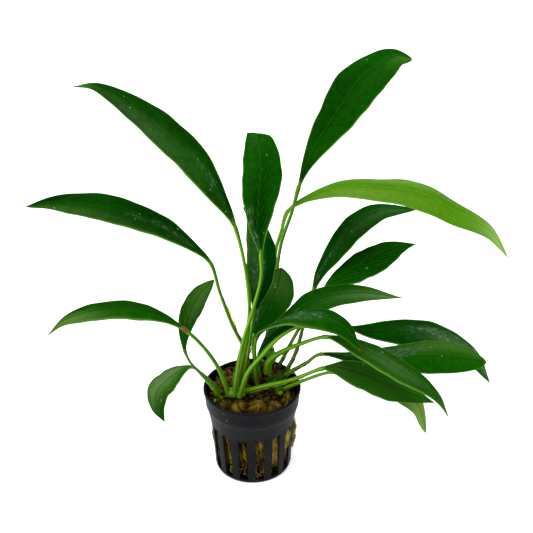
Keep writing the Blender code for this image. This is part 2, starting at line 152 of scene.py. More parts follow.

# Each leaf in millimetres: points that its stalk and its midrib run through, its greatest width and
# where along it that lies, the way its upper face looks at the base and at the tip, its foot's girth,
# and then how young and pale it is from 0 to 1, where it is wet (share along, share across, strength),
# how brown its joint is, how far up its stalk the brown sheath edges reach, where its painted sheen
# patch, a painted highlight, lies (the same three numbers) and how clear its veins are.
Leaf = namedtuple("Leaf", "stalk midrib width widest face face_tip foot young wet brown sheath satin clear")
LEAVES = {
    1: Leaf(
        [(-9, 0, 50), (-1.5, -2, 91), (-1, -1, 116), (-7.5, 6, 150)],
        [(-16, 12, 165), (-34, 23, 188), (-55, 31, 204), (-78, 35, 217), (-90, 35, 217)],
        23.5, 0.5, (0.3, -0.3, 0.9), (0.1, -0.2, 1), 1.0, 0.12,
        (0.17, 0.15, 0.66), 0.0, 0.45, (0.6, -0.6, 0.3), 0.3,
    ),
    2: Leaf(
        [(-2, 12, 50), (-3, 11, 68), (-10, 12, 84), (-17, 16, 104), (-22, 20, 121)],
        [(-31, 25, 128), (-50, 34, 137), (-73, 42, 143), (-94, 48, 145), (-113, 52, 144), (-128, 54, 140)],
        25, 0.57, (0.2, -0.2, 1), (0, -0.1, 1), 1.0, 0.1,
        (0.24, 0.0, 0.78), 0.0, 0.4, (0.6, -0.8, 0.12), 0.25,
    ),
    3: Leaf(
        [(-13, -5, 50), (-17, -6, 66), (-22.5, -8, 79), (-28, -9, 88), (-35.5, -10, 97)],
        [(-47, -12, 106.5), (-63, -14, 112), (-81, -17, 113), (-97, -19, 108.5), (-106, -20, 100.5)],
        16, 0.5, (0.1, -0.1, 1), (0, -0.1, 1), 1.1, 0.15,
        (0.3, 0, 0.15), 1.0, 0.3, (0.95, -0.3, 0.6), 0.2,
    ),
    4: Leaf(
        [(-17, -2, 50), (-26, -1, 60), (-33.5, 1, 67), (-37, 4, 73.5)],
        [(-37.5, 7, 79), (-36.5, 11, 86.5), (-33, 16, 94.5), (-28, 20, 101.5), (-20.5, 24, 108)],
        11.5, 0.6, (0.2, -0.3, 1), (0.2, -0.3, 1), 0.65, 0.2,
        (0.3, 0, 0.15), 0.8, 0.5, (0.6, 0.3, 0.35), 0.6,
    ),
    5: Leaf(
        [(-17, -8, 50), (-25, -12, 65.5), (-32, -17, 77.5)],
        [(-37, -20, 78), (-44, -24, 74.5), (-50, -28, 69), (-50.5, -31, 62), (-46.5, -34, 54)],
        17, 0.54, (-0.2, -0.2, 1), (-0.8, -0.5, 0.3), 0.65, 0.15,
        (0.3, 0, 0.1), 0.2, 0.5, (0.4, 0.3, 1.9), 0.4,
    ),
    6: Leaf(
        [(-10, -6, 50), (-8, -6, 65), (-4, -6, 87), (2, -5, 108), (6, -4, 125), (6, -2, 138)],
        [(5, 2, 149), (5.5, 6, 161), (7, 12, 176), (7, 20, 186), (5, 30, 192), (4, 39, 184)],
        20, 0.54, (0, -0.9, 0.4), (0.2, -0.2, 1), 1.0, 0.1,
        (0.15, -0.7, 0.75), 0.0, 0.4, (0.95, -0.4, 0.12), 0.5,
    ),
    7: Leaf(
        [(-5, 8, 50), (-2, 7, 69), (0, 6, 85), (2, 5, 98)],
        [(5.5, 6, 116), (6.3, 8, 132), (4, 10, 145), (1, 12, 153), (-3.5, 14, 157.5)],
        16, 0.5, (0.3, -0.9, 0.2), (0.2, -0.9, 0.3), 0.9, 0.0,
        (0.4, -0.2, 1.4), 0.0, 0.4, (0.45, -0.55, 0.3), 0.3,
    ),
    8: Leaf(
        [(3, 12, 51), (1, 12, 66), (1, 13, 77)],
        [(7, 16, 89), (12, 17, 100), (15.5, 19, 109), (17, 21, 117)],
        21, 0.62, (-0.1, -0.7, 0.7), (0, -0.7, 0.7), 0.8, 0.12,
        (0.3, -0.5, 0.7), 0.0, 0.4, (0.85, 0.2, 0.2), 0.3,
    ),
    9: Leaf(
        [(10, 18, 53), (13, 28, 92), (17, 31, 126), (23, 31, 146), (27, 31, 162)],
        [
            (31, 33, 173), (37.5, 37, 184), (51.5, 47, 202.5), (59, 52, 212),
            (69.5, 58, 219), (79, 62, 223), (89, 64, 221),
        ],
        27, 0.64, (-0.2, -0.6, 0.8), (-0.1, -0.3, 1), 1.0, 0.1,
        (0.8, 0, 0.0), 0.0, 0.6, (0.85, 0.3, 0.05), 0.5,
    ),
    10: Leaf(
        [(6, 16, 53), (11, 24, 87), (14, 25, 125), (17, 23, 138), (21, 19, 153)],
        [
            (30, 18, 160), (48, 16, 167), (68, 12, 168), (89, 8, 166),
            (107.5, 5, 157), (125, 1, 148), (135.5, -2, 134),
        ],
        27, 0.53, (-0.1, 0, 1), (0.3, -0.2, 1), 1.0, 1.0,
        (0.5, 0, 0.0), 0.0, 0.5, (0.3, 0.6, 0.75), 0.8,
    ),
    11: Leaf(
        [(17, 12, 50), (24, 16, 61), (29, 19, 78), (35, 23, 101)],
        [(38.5, 26, 110), (44.5, 29, 119), (55.5, 34, 133), (71, 41, 141), (95, 50, 138)],
        17, 0.52, (-0.1, -0.2, 1), (0, -0.2, 1), 0.9, 0.08,
        (0.15, 0, 0.8), 0.1, 0.75, (0.75, 0.3, 0.45), 0.4,
    ),
    12: Leaf(
        [(13, 15, 50), (18, 13, 63), (27, 14, 82), (41, 18, 105)],
        [(48, 21, 109), (57, 24, 113), (74, 29, 121), (83, 33, 123), (93, 36, 123)],
        22, 0.47, (-0.2, -0.2, 1), (0, -0.2, 1), 0.9, 0.1,
        (0.5, 0, 0.0), 0.1, 0.5, (0.5, 0, 0.0), 1.0,
    ),
    13: Leaf(
        [(6, 7, 51), (4, 6, 62), (4, 5, 70)],
        [(11, 4, 84), (19, 4, 92), (30, 3, 103), (41, 2, 109), (58, 0, 112.5), (81, -3, 111)],
        19, 0.49, (-0.4, -0.2, 0.9), (0, -0.2, 1), 0.9, 0.12,
        (0.14, -0.2, 1.2), 0.0, 0.4, (0.95, 0.3, 1.1), 0.4,
    ),
    14: Leaf(
        [(3, 4, 51), (2, 2, 65), (3, -1, 85)],
        [
            (8, -5, 94), (16, -9, 101), (24, -14, 107), (33, -20, 110),
            (41, -26, 111), (49, -32, 109), (56, -38, 101),
        ],
        21, 0.5, (-0.4, 0.5, 0.8), (0.3, -0.4, 1), 0.9, 0.1,
        (0.35, -0.1, 1.8), 0.0, 0.3, (0.3, 0.1, 0.4), 0.2,
    ),
    15: Leaf(
        [(-7, -7, 50), (-2, -8, 67), (6, -9, 79), (15, -10, 91), (25, -10, 98), (38, -4, 98), (52, 8, 86.5)],
        [(65, 17, 77.5), (87, 25, 71.5), (111, 27, 65), (123, 27, 58), (132.5, 27, 50), (141, 26, 35)],
        25, 0.59, (0.2, -0.2, 0.9), (0.5, -0.2, 0.8), 1.05, 0.08,
        (0.72, -0.2, 1.4), 0.0, 0.2, (0.84, 0.0, 1.1), 0.2,
    ),
    16: Leaf(
        [(15, 9, 51), (24, 8, 58), (31, 6, 64), (38, 5, 70)],
        [(55, 3, 69.5), (76, -2, 71.5), (94, -6, 75.5), (111, -9, 76.5), (128, -11, 74.5)],
        23, 0.67, (0.1, -0.3, 1), (0.1, -0.3, 1), 1.0, 0.15,
        (0.35, -0.4, 1.4), 0.3, 0.9, (0.35, -0.5, 0.4), 0.2,
    ),
    17: Leaf(
        [(8.8, 6, 58), (9.6, 3.5, 66), (13, 1.5, 71.5), (18.5, -1, 77), (27, -4.5, 83.5), (41, -11, 92)],
        [(51, -16, 92), (65, -24, 89), (79, -31, 83), (92, -37, 76.5), (98, -41, 71.5), (103, -44, 62.5)],
        18, 0.44, (0.1, 0, 1), (0.5, -0.3, 0.8), 1.7, 0.2,
        (0.5, 0, 0.2), 0.0, 0.2, (0.5, 0.1, 0.5), 0.5,
    ),
    18: Leaf(
        [(-6, -3, 50.5), (6, -7, 57), (23, -10, 64), (39, -13, 73)],
        [(46, -16, 75.5), (61, -20, 73), (71, -23, 70), (84, -26, 65.5), (98, -29, 61)],
        21, 0.48, (0.1, -0.2, 1), (0.3, -0.3, 1), 1.2, 0.1,
        (0.5, 0, 0.0), 0.1, 0.9, (0.5, 0, 0.0), 1.0,
    ),
    19: Leaf(
        [(18, -1, 51), (30, -5, 60), (44, -8, 67)],
        [(54, -9, 67), (66, -11, 64), (77, -13, 60), (86, -15, 55), (92, -17, 49), (96.5, -20, 34)],
        15.5, 0.62, (0.2, 0, 1), (0.8, -0.4, 0.5), 0.9, 0.4,
        (0.1, 0, 0.1), 0.0, 0.0, (0.5, -0.2, 1.3), 0.4,
    ),
}

# Paler and darker patches on a leaf: share along, share across, the two sizes, and how much paler;
# then how much richer or duller a whole leaf's green is, and which leaves end in a pale tip.
# Pale tips and blotches are the leaf's own colour; the darker patches near leaf bases under other
# leaves and on the upper halves of leaves 1 and 2 are painted shade, and the paler patches and richer
# greens that lift leaves lying in shade, such as 18, are painted light.
PATCHES = {
    1: [(0.35, 0.7, 0.4, 0.4, -0.6), (0.97, 0, 0.05, 1.2, 0.6)],
    2: [
        (0.4, 0.5, 0.35, 0.45, -0.7), (0.86, 0.3, 0.04, 0.3, -1.3),
        (0.8, -0.8, 0.3, 0.3, 0.2), (0.25, -1, 0.25, 0.12, 0.8),
    ],
    3: [(0.95, -0.3, 0.25, 1, 0.9), (0.5, -1, 0.4, 0.15, 0.6), (0.4, 0.5, 0.4, 0.5, -0.4)],
    4: [(0.9, 0, 0.3, 1.2, 0.4)],
    5: [(0.4, 0.3, 0.3, 0.8, 0.8)],
    6: [(0.12, 0, 0.45, 0.6, -1.6), (0.02, 1, 0.3, 0.12, 0.9)],
    7: [(0.3, 0.4, 0.4, 0.4, -0.7), (1.0, 0, 0.3, 1.2, 1.0), (0.8, -1, 0.3, 0.2, 0.9)],
    8: [(0.9, 0, 0.4, 1.0, 0.3), (0.2, 0, 0.3, 0.6, -0.5)],
    9: [(0.45, -0.3, 0.4, 0.35, -0.5), (0.95, 0.4, 0.1, 0.6, 0.3)],
    10: [(1.0, 0, 0.14, 1.5, 1.6), (0.42, -0.8, 0.25, 0.4, 0.35)],
    11: [(0.1, 0.0, 0.15, 0.8, -0.5), (0.35, -0.7, 0.3, 0.35, -0.4)],
    13: [(0.1, 0, 0.25, 0.8, -0.9), (0.97, 0, 0.15, 1.2, 0.7)],
    14: [(0.3, 1.0, 0.4, 0.16, 0.9), (0.12, 0.2, 0.2, 0.6, -0.5)],
    15: [(0.3, -0.5, 0.25, 0.5, -0.4)],
    16: [(0.1, 0, 0.2, 1, -0.6), (0.75, -0.7, 0.25, 0.4, 0.3)],
    17: [(0.6, 1.0, 0.6, 0.12, 0.8), (0.97, 0, 0.08, 1.2, 0.7)],
    18: [(0.05, 0, 0.15, 0.6, 0.4), (0.5, 0, 0.7, 1.2, 0.2)],
    19: [(0.6, 0, 0.8, 2, 1.6)],
}
RICHER = {
    2: -0.15, 6: 0.25, 7: -0.1, 8: 0.3, 10: -0.12, 11: 0.1,
    12: 0.25, 14: 0.2, 15: 0.1, 16: 0.3, 17: 0.1, 18: 0.6,
}
PALE_TIPS = (7, 9, 10, 17)

# Rhizomes and cut ends, in millimetres: where each limb starts and ends, and its two radii.
RHIZOME_LEFT = ((-14, -4.6, 51.2), (-4, -3.6, 51.4), 2.8, 3.3)
RHIZOME_RIGHT = ((0, 9, 51.5), (18, 8, 52.5), 3.8, 4.6)
STUMP = ((8.5, 9, 53), (10.3, 12, 71), 4.3, 2.9)
KNOB = ((11, 8, 52), (16, -5.5, 51.5), 3.2, 2.2)
CUT_STALK = ((-18.3, -11.8, 51.3), (-20.5, -13, 52.3), 1.2, 1.1)
OLD_STALK = ((-11, 4, 50.5), (-6.5, 5, 73), 1.1, 0.7)

# Girth of a limb at shares along it; the last girth is each limb's own
LIMB_SHARES = [0, 0.03, 0.12, 0.35, 0.65, 0.88, 0.97, 1]
LIMB_GIRTHS = [0.3, 0.7, 0.95, 1.05, 0.97, 1, 0.92]

# Torn scales: the limb they stand on, how many, and the shares along it; then half their thickness
SCALES = [(STUMP, 44, -0.1, 0.6), (RHIZOME_RIGHT, 26, 0.1, 0.98), (KNOB, 2, 0.1, 0.3)]
SCALE_HALF = 0.07


# Shader expressions


def operator(operation, last=False):
    """A method that adds a Math node, in which the value itself comes first or last."""

    def method(self, *others):
        numbers = (*others, self) if last else (self, *others)
        return self.look.node("Math", {"operation": operation}, dict(enumerate(numbers)))

    return method


class Value:
    """A socket in a material; sums on it add the Math nodes."""

    __add__ = __radd__ = operator("ADD")
    __sub__ = operator("SUBTRACT")
    __rsub__ = operator("SUBTRACT", last=True)
    __mul__ = __rmul__ = operator("MULTIPLY")
    __pow__ = operator("POWER")
    fraction = operator("FRACT")
    size = operator("ABSOLUTE")
    lowest = operator("MINIMUM")
    highest = operator("MAXIMUM")

    def __init__(self, look, socket):
        self.look = look
        self.socket = socket

    def held(self, most=1.0):
        """The value, kept from 0 to the most."""
        return self.highest(0.0).lowest(most)

    def rise(self, start, end):
        """A smooth step from 0 at start to 1 at end."""
        settings = {"interpolation_type": "SMOOTHSTEP"}
        return self.look.node("MapRange", settings, {0: self, 1: start, 2: end, 3: 0.0, 4: 1.0})


class Look:
    """A material whose nodes are made by one method."""

    def __init__(self, name, roughness=0.5, **constants):
        self.material = bpy.data.materials.new(name)
        self.material.use_nodes = True
        self.tree = self.material.node_tree
        self.shader = self.tree.nodes["Principled BSDF"]
        self.shader.inputs["Roughness"].default_value = roughness
        for key, value in constants.items():
            self.shader.inputs[key.replace("_", " ")].default_value = value

    def feed(self, socket, value):
        if isinstance(value, Value):
            self.tree.links.new(value.socket, socket)
        else:
            socket.default_value = value

    def node(self, kind, settings=None, values=None, output=0):
        made = self.tree.nodes.new("ShaderNode" + kind)
        for key, value in (settings or {}).items():
            setattr(made, key, value)
        for key, value in (values or {}).items():
            self.feed(made.inputs[key], value)
        return Value(self, made.outputs[output])

    def places(self):
        return self.node("TexCoord", output="Object")

    def parts(self, vector):
        """The three numbers of a vector."""
        split = self.node("SeparateXYZ", None, {0: vector})
        return [Value(self, socket) for socket in split.socket.node.outputs]

    def stored(self, name):
        """The three numbers of an attribute."""
        return self.parts(self.node("Attribute", {"attribute_name": name}, output="Vector"))

    def joined(self, x, y, z):
        return self.node("CombineXYZ", None, {0: x, 1: y, 2: z})

    def noise(self, scale, detail=3.0, vector=None, roughness=0.5):
        values = {"Vector": vector or self.places(), "Scale": scale, "Detail": detail, "Roughness": roughness}
        return self.node("TexNoise", None, values)

    def cells(self, scale):
        return self.node("TexVoronoi", None, {"Vector": self.places(), "Scale": scale})

    def mix(self, share, first, second):
        """The first colour where share is 0, the second where it is 1."""
        first, second = (c if isinstance(c, Value) else (*c, 1.0) for c in (first, second))
        return self.node("Mix", {"data_type": "RGBA"}, {0: share, 6: first, 7: second}, 2)

    def over(self, colour, *layers):
        """The colour with others laid over it in turn, each by its share."""
        for share, laid in layers:
            colour = self.mix(share, colour, laid)
        return colour

    def bump(self, height, distance, strength=1.0):
        values = {"Strength": strength, "Distance": distance, "Height": height}
        self.feed(self.shader.inputs["Normal"], self.node("Bump", None, values))

    def set(self, **sockets):
        for key, value in sockets.items():
            self.feed(self.shader.inputs[key.replace("_", " ")], value)
        return self.material


# Surfaces


def unit(vectors):
    """The vectors, each one long."""
    return vectors / np.maximum(np.linalg.norm(vectors, axis=-1, keepdims=True), 1e-12)


def turned(side, other, turn):
    """The directions at a turn from side towards other."""
    return side * np.cos(turn)[..., None] + other * np.sin(turn)[..., None]


def hill(across, wide, beside=0.0, deep=1.0):
    """A round hill, 1 at its middle and down to a third of that one size away."""
    return np.exp(-((across / wide) ** 2) - (beside / deep) ** 2)


def slope(across, wide):
    """A smooth step from 0 to 1."""
    return 1 / (1 + np.exp(-across / wide))


def triples(grid, *parts):
    """Three numbers for each point of a grid, from whole grids, rows, columns or single numbers."""
    return np.stack([np.broadcast_to(part, grid) for part in parts], axis=-1)


def round_axis(radius, turn, height):
    """The points at a radius, a turn and a height round the pot's axis."""
    return np.stack(np.broadcast_arrays(radius * np.cos(turn), radius * np.sin(turn), height), axis=-1)


def added(name, data):
    """A new object of the scene that shows the data."""
    made = bpy.data.objects.new(name, data)
    bpy.context.scene.collection.objects.link(made)
    return made


def piece(name, points, faces, look, replaced=(), attributes=None, sharp=40):
    """A mesh of the object, with its vector attributes, that rides on the plant's one body."""
    mesh = bpy.data.meshes.new(name)
    mesh.from_pydata(np.asarray(points).reshape(-1, 3).tolist(), [], faces)
    for key, values in (attributes or {}).items():
        made = mesh.attributes.new(key, "FLOAT_VECTOR", "POINT")
        made.data.foreach_set("vector", np.asarray(values, np.float32).reshape(-1))
    mesh.shade_smooth()
    mesh.set_sharp_from_angle(angle=math.radians(sharp))
    mesh.materials.append(look)
    made = added(name, mesh)
    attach(made, "root")
    if replaced:
        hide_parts(*replaced)
    return made


def quads(rows, columns, start=0, closed=False, flipped=False):
    """The four-cornered faces of a grid of points, whose columns may close into a ring."""
    row, column = np.mgrid[0 : rows - 1, 0 : columns if closed else columns - 1]
    beside = (column + 1) % columns
    corners = [row * columns + column, row * columns + beside]
    corners += [(row + 1) * columns + beside, (row + 1) * columns + column]
    faces = np.stack(corners, axis=-1).reshape(-1, 4) + start
    return (faces[:, ::-1] if flipped else faces).tolist()


def sheet_faces(rows, columns, start=0, flipped=False):
    """The faces of a sheet of two skins, whose points follow each other, with its rim closed."""
    count = rows * columns
    rim = [np.arange(columns), np.arange(1, rows) * columns + columns - 1]
    rim += [(rows - 1) * columns + np.arange(columns - 1)[::-1], np.arange(1, rows - 1)[::-1] * columns]
    rim = np.concatenate(rim) + start
    beside = np.roll(rim, -1)
    walls = np.stack([rim, rim + count, beside + count, beside], axis=1)
    walls = (walls[:, ::-1] if flipped else walls).tolist()
    front = quads(rows, columns, start, flipped=flipped)
    return front + quads(rows, columns, start + count, flipped=not flipped) + walls


def smooth_path(points):
    """A dense smooth curve through the points, in metres, and its steps between two of them."""
    points = np.array(points, float) * MM
    knots = np.append(0, np.cumsum(np.sqrt(np.linalg.norm(np.diff(points, axis=0), axis=1))))
    slopes = np.gradient(points, knots, axis=0, edge_order=1)
    fine = 40
    u = np.arange(fine)[:, None] / fine
    dense = []
    for start in range(len(points) - 1):
        span = knots[start + 1] - knots[start]
        dense.append(
            (2 * u**3 - 3 * u**2 + 1) * points[start]
            + (u**3 - 2 * u**2 + u) * span * slopes[start]
            + (3 * u**2 - 2 * u**3) * points[start + 1]
            + (u**3 - u**2) * span * slopes[start + 1]
        )
    return np.vstack([*dense, points[-1:]]), fine


def even_points(curve, shares):
    """Points at the given shares of the curve's length."""
    lengths = np.append(0, np.cumsum(np.linalg.norm(np.diff(curve, axis=0), axis=1)))
    wanted = np.asarray(shares) * lengths[-1]
    return np.stack([np.interp(wanted, lengths, curve[:, axis]) for axis in range(3)], axis=1)


def leaf_curves(leaf):
    """The stalk's curve and the midrib's curve, which are one smooth curve parted at the joint."""
    curve, fine = smooth_path(leaf.stalk + leaf.midrib)
    joint = (len(leaf.stalk) - 1) * fine
    return curve[: joint + 1], curve[joint:]


def across_frames(path):
    """Two directions square to a path at each of its points, steady along it."""
    along = unit(np.gradient(path, axis=0))
    side = unit(np.cross(along, HELPER))
    return side, np.cross(along, side)


def swept(path, radii, sides, shape=1.0):
    """Rings of points round a path: radius times the shape's share at each turn."""
    side, other = across_frames(path)
    turn = np.arange(sides) * TAU / sides
    reach = radii[:, None] * (np.ones(sides) * shape)
    return path[:, None] + turned(side[:, None], other[:, None], turn) * reach[:, :, None]


def tube_faces(rows, sides, start=0):
    """The faces of a swept tube with both ends closed."""
    last = start + (rows - 1) * sides
    ends = [[start + step for step in range(sides)], [last + step for step in range(sides)][::-1]]
    return quads(rows, sides, start, closed=True, flipped=True) + ends


def build_strands(name, paths, radii, look, sides=3, sharp=80, attributes=None):
    """A piece of many thin tubes: paths is strand by step by place, and radii is strand by step."""
    count, steps, _ = paths.shape
    along = unit(np.gradient(paths, axis=1))
    side = unit(np.cross(along, (0.31, 0.52, 0.79)))
    other = np.cross(along, side)
    turn = np.arange(sides) * TAU / sides
    ring = turned(side[:, :, None], other[:, :, None], turn)
    points = paths[:, :, None] + ring * radii[:, :, None, None]
    one = np.array(quads(steps, sides, closed=True, flipped=True))
    each = np.arange(count)[:, None, None] * steps * sides
    faces = (one[None] + each).reshape(-1, 4).tolist()
    first = np.arange(sides)[None] + each[:, :, 0]
    last = first[:, ::-1] + (steps - 1) * sides
    piece(name, points, faces + first.tolist() + last.tolist(), look, (), attributes, sharp)


# Materials


def leaf_look():
    """Leathery green blade: fine slanting veins, pale margin, wet shine from a clear coat with painted glints
    and a painted wet sheen, painted sheen patches, painted shade along the midrib crease and in patches, matt
    pale underside, brown tip.
    """
    look = Look("leaf blade", 0.4, Specular_IOR_Level=0.0015, Coat_Roughness=0.16, Coat_IOR=1.33)
    along, across, under = look.stored("share")
    vein, rib, satin = look.stored("veins")
    young, wet, clear = look.stored("kind")
    paler, pale_tip, richer = look.stored("patch")
    drift = look.noise(26, 3) - 0.5
    mottle = look.noise(330, 3) - 0.5
    line = ((vein + drift * 0.3).fraction() - 0.5).size() * 2
    veins = 1 - line.rise(0.0, 0.24)
    fine = ((vein * 3 + drift).fraction() - 0.5).size() * 2
    streak = look.noise(1.0, 4, look.joined(vein * 3, rib, clear * 7 + young * 3), 0.6)
    shade = richer + drift * 1.6 + mottle * 0.5 + fine * 0.3 + line * 0.25 + streak * 0.6 - 0.15
    shade = shade.held()
    dark = look.mix(shade, (0.0001, 0.012, 0.0001), (0.0008, 0.055, 0.0001))
    darker = look.mix(shade, (0.0001, 0.006, 0.0001), (0.0003, 0.02, 0.0001))
    fresh = look.mix(shade, (0.02, 0.1, 0.0002), (0.062, 0.175, 0.001))
    light = look.mix(shade, (0.03, 0.11, 0.004), (0.07, 0.17, 0.02))
    rays = (veins * (clear * 0.48 + 0.14 + mottle)).highest(0.0)
    # gleam: the painted sheen's light grey-green, a painted highlight where the sheen patch lies
    gleam = satin * (0.3 + mottle * 0.6 + fine * 0.2 + streak * 0.6)
    # groove marks the midrib: on the upper face its dark colour is a painted shadow in the crease, on the
    # underside it is the pale midrib itself
    groove = 1 - rib.size().rise(0.15, 0.55)
    beside = 1 - (rib + 0.85).size().rise(0.1, 0.5)
    # Over the green go the patches, which are partly painted light and painted shade; then the veins, the
    # painted sheen, the painted shadow in the midrib crease and the pale line beside it.
    top = look.over(
        look.mix(young**1.5, dark, fresh),
        (paler.held(), look.mix(young, light, (0.18, 0.3, 0.07))),
        ((paler * -0.8).held(0.85), darker),
        (rays, look.mix(young, (0.007, 0.11, 0.003), (0.13, 0.26, 0.015))),
        (gleam.lowest(0.95), look.mix(young, (0.06, 0.118, 0.044), (0.095, 0.175, 0.022))),
        (groove * 0.6, look.mix(young, (0.0003, 0.012, 0.0001), (0.03, 0.11, 0.0005))),
        (beside * 0.25, look.mix(young, (0.005, 0.075, 0.001), (0.1, 0.22, 0.01))),
    )
    below = look.mix(veins * 0.3 + groove * 0.7, (0.02, 0.075, 0.008), (0.06, 0.15, 0.02))
    width = 0.962 - (1 - along) ** 3 * 0.14
    edge = ((across.size() - width) * 50).held()
    foot = 1 - along.rise(0.0, 0.05)
    upper = 1 - under
    # wet_and_sheen marks where water lies: it raises ripple bumps and lays a painted wet sheen on the colour.
    # glint gives painted glints on the ripples, where the clear coat also lies. droplets_and_glints gives
    # droplets that bulge the surface and carry painted highlights.
    wet_and_sheen = (look.noise(60, 3) * 0.9 - 0.45 + wet * 0.6).rise(0.22, 0.45)
    glint = streak.rise(0.55, 0.62) * wet_and_sheen * look.noise(170, 2).rise(0.42, 0.55) * upper
    droplets_and_glints = (0.2 - look.cells(420)).rise(0.0, 0.1) * young * (1 - across.rise(-0.75, -0.3))
    specks = (0.2 - look.cells(300)).rise(0.0, 0.08) * look.noise(75, 2).rise(0.6, 0.66)
    colour = look.over(
        look.mix(under, top, below),
        (edge * (0.75 - along * 0.35), (0.09, 0.2, 0.022)),
        (foot * 0.8, look.mix(young, (0.03, 0.11, 0.001), (0.17, 0.33, 0.015))),
        (along.rise(0.982, 0.994), look.mix(pale_tip, (0.1, 0.05, 0.012), (0.3, 0.4, 0.16))),
        # painted wet sheen, painted glints and painted highlights on the droplets
        (wet_and_sheen * 0.15, (0.03, 0.07, 0.03)),
        (glint * 0.85, (0.11, 0.165, 0.12)),
        (droplets_and_glints * 0.7, (0.3, 0.5, 0.15)),
        (specks * upper * (1 - young) * 0.6, (0.2, 0.28, 0.2)),
    )
    look.bump(veins * -0.7 + fine * 0.2 + mottle * 0.25 + droplets_and_glints + wet_and_sheen * streak * 2.5, 0.18 * MM, 0.8)
    return look.set(Base_Color=colour, Roughness=0.42 + mottle * 0.1 + under * 0.2, Coat_Weight=glint * 0.6)


def stalk_look():
    """Juicy green stalk: lengthwise streaks, a painted highlight down its left front and painted shade down
    its right, paler foot, brown joint, tan sheath edge.
    """
    look = Look("leaf stalk", 0.38, Specular_IOR_Level=0.07)
    along, around, brown = look.stored("share")
    young, red, tone = look.stored("kind")
    streak = look.noise(1.0, 3, look.joined(along * 5, around * 14, tone * 9))
    drift = look.noise(110, 3)
    # lit_stripe: a painted highlight down the stalk's left front; shaded_side: painted shade down its right
    lit_stripe = 1 - ((around - 0.14).size() * 7 + streak - 0.5).rise(0.0, 1.0)
    shaded_side = 1 - ((around - 0.43).size() * 3.2 + streak * 0.5).rise(0.2, 1.0)
    spots = (0.13 - look.cells(120)).rise(0.0, 0.05) * (1 - along.rise(0.3, 0.5))
    colour = look.over(
        look.mix((streak * 0.9 + drift * 0.8 - 0.4).held(), (0.014, 0.085, 0.0003), (0.05, 0.19, 0.001)),
        (lit_stripe * 0.8, (0.17, 0.38, 0.01)),
        (shaded_side * 0.85, (0.005, 0.045, 0.0002)),
        (young * 0.6, (0.16, 0.36, 0.012)),
        ((1 - along.rise(0.0, 0.16)) * 0.45, (0.1, 0.24, 0.012)),
        (along.rise(0.9, 0.93) * red * 0.85, look.mix(streak, (0.035, 0.009, 0.002), (0.17, 0.06, 0.01))),
        ((brown * 0.8).highest(spots * 0.6), (0.12, 0.045, 0.012)),
    )
    look.bump(streak * 0.7 + look.noise(700, 2) * 0.3, 0.12 * MM, 0.7)
    return look.set(Base_Color=colour, Roughness=0.32 + drift * 0.2)


def sheath_look():
    """Dry papery sheath edge, tan to red brown with darker ends of fibres."""
    look = Look("dry sheath", 0.7, Specular_IOR_Level=0.1)
    streak = look.noise(420, 4)
    colour = look.mix(streak.rise(0.35, 0.65), (0.05, 0.014, 0.004), (0.15, 0.06, 0.015))
    colour = look.mix(look.noise(90, 3).rise(0.4, 0.6), colour, (0.1, 0.22, 0.01))
    look.bump(streak, 0.15 * MM)
    return look.set(Base_Color=colour)


def rhizome_look():
    """Green creeping stem: ring scars, brown scaly patches where it is old, and a pale cut face."""
    look = Look("rhizome", 0.42, Specular_IOR_Level=0.06)
    along, _, cut_face = look.stored("share")
    old, light, _ = look.stored("age")
    rings = (along * 5 + look.noise(90, 2) * 0.6).fraction().size()
    scale = look.noise(260, 4, roughness=0.6)
    green = look.mix(light, (0.006, 0.045, 0.0003), (0.05, 0.2, 0.002))
    bright = look.mix(light, (0.03, 0.13, 0.001), (0.13, 0.33, 0.012))
    crust = (scale + (1 - rings.rise(0.0, 0.25)) * 0.15 + old * 0.3 - 0.25).rise(0.45, 0.5)
    flecks = look.noise(500, 3).rise(0.35, 0.65)
    colour = look.over(
        look.mix(look.noise(130, 3).rise(0.4, 0.65), green, bright),
        (crust * 0.9, look.mix(flecks, (0.01, 0.004, 0.0015), (0.1, 0.035, 0.012))),
        (cut_face, look.mix(look.noise(500, 2), (0.14, 0.26, 0.01), (0.26, 0.42, 0.04))),
    )
    look.bump(scale * 0.5 + crust * 0.5 + rings * 0.2, 0.35 * MM)
    return look.set(Base_Color=colour, Roughness=0.38 + crust * 0.4)


def scale_look():
    """Torn papery scales and old leaf bases: dark to red brown, with pale ragged fibres."""
    look = Look("torn scale", 0.75, Specular_IOR_Level=0.05)
    streak = look.noise(380, 4)
    colour = look.mix(streak.rise(0.35, 0.62), (0.005, 0.002, 0.0005), (0.085, 0.024, 0.006))
    colour = look.mix(look.noise(240, 3).rise(0.62, 0.68) * 0.6, colour, (0.35, 0.27, 0.14))
    look.bump(streak, 0.2 * MM)
    return look.set(Base_Color=colour)


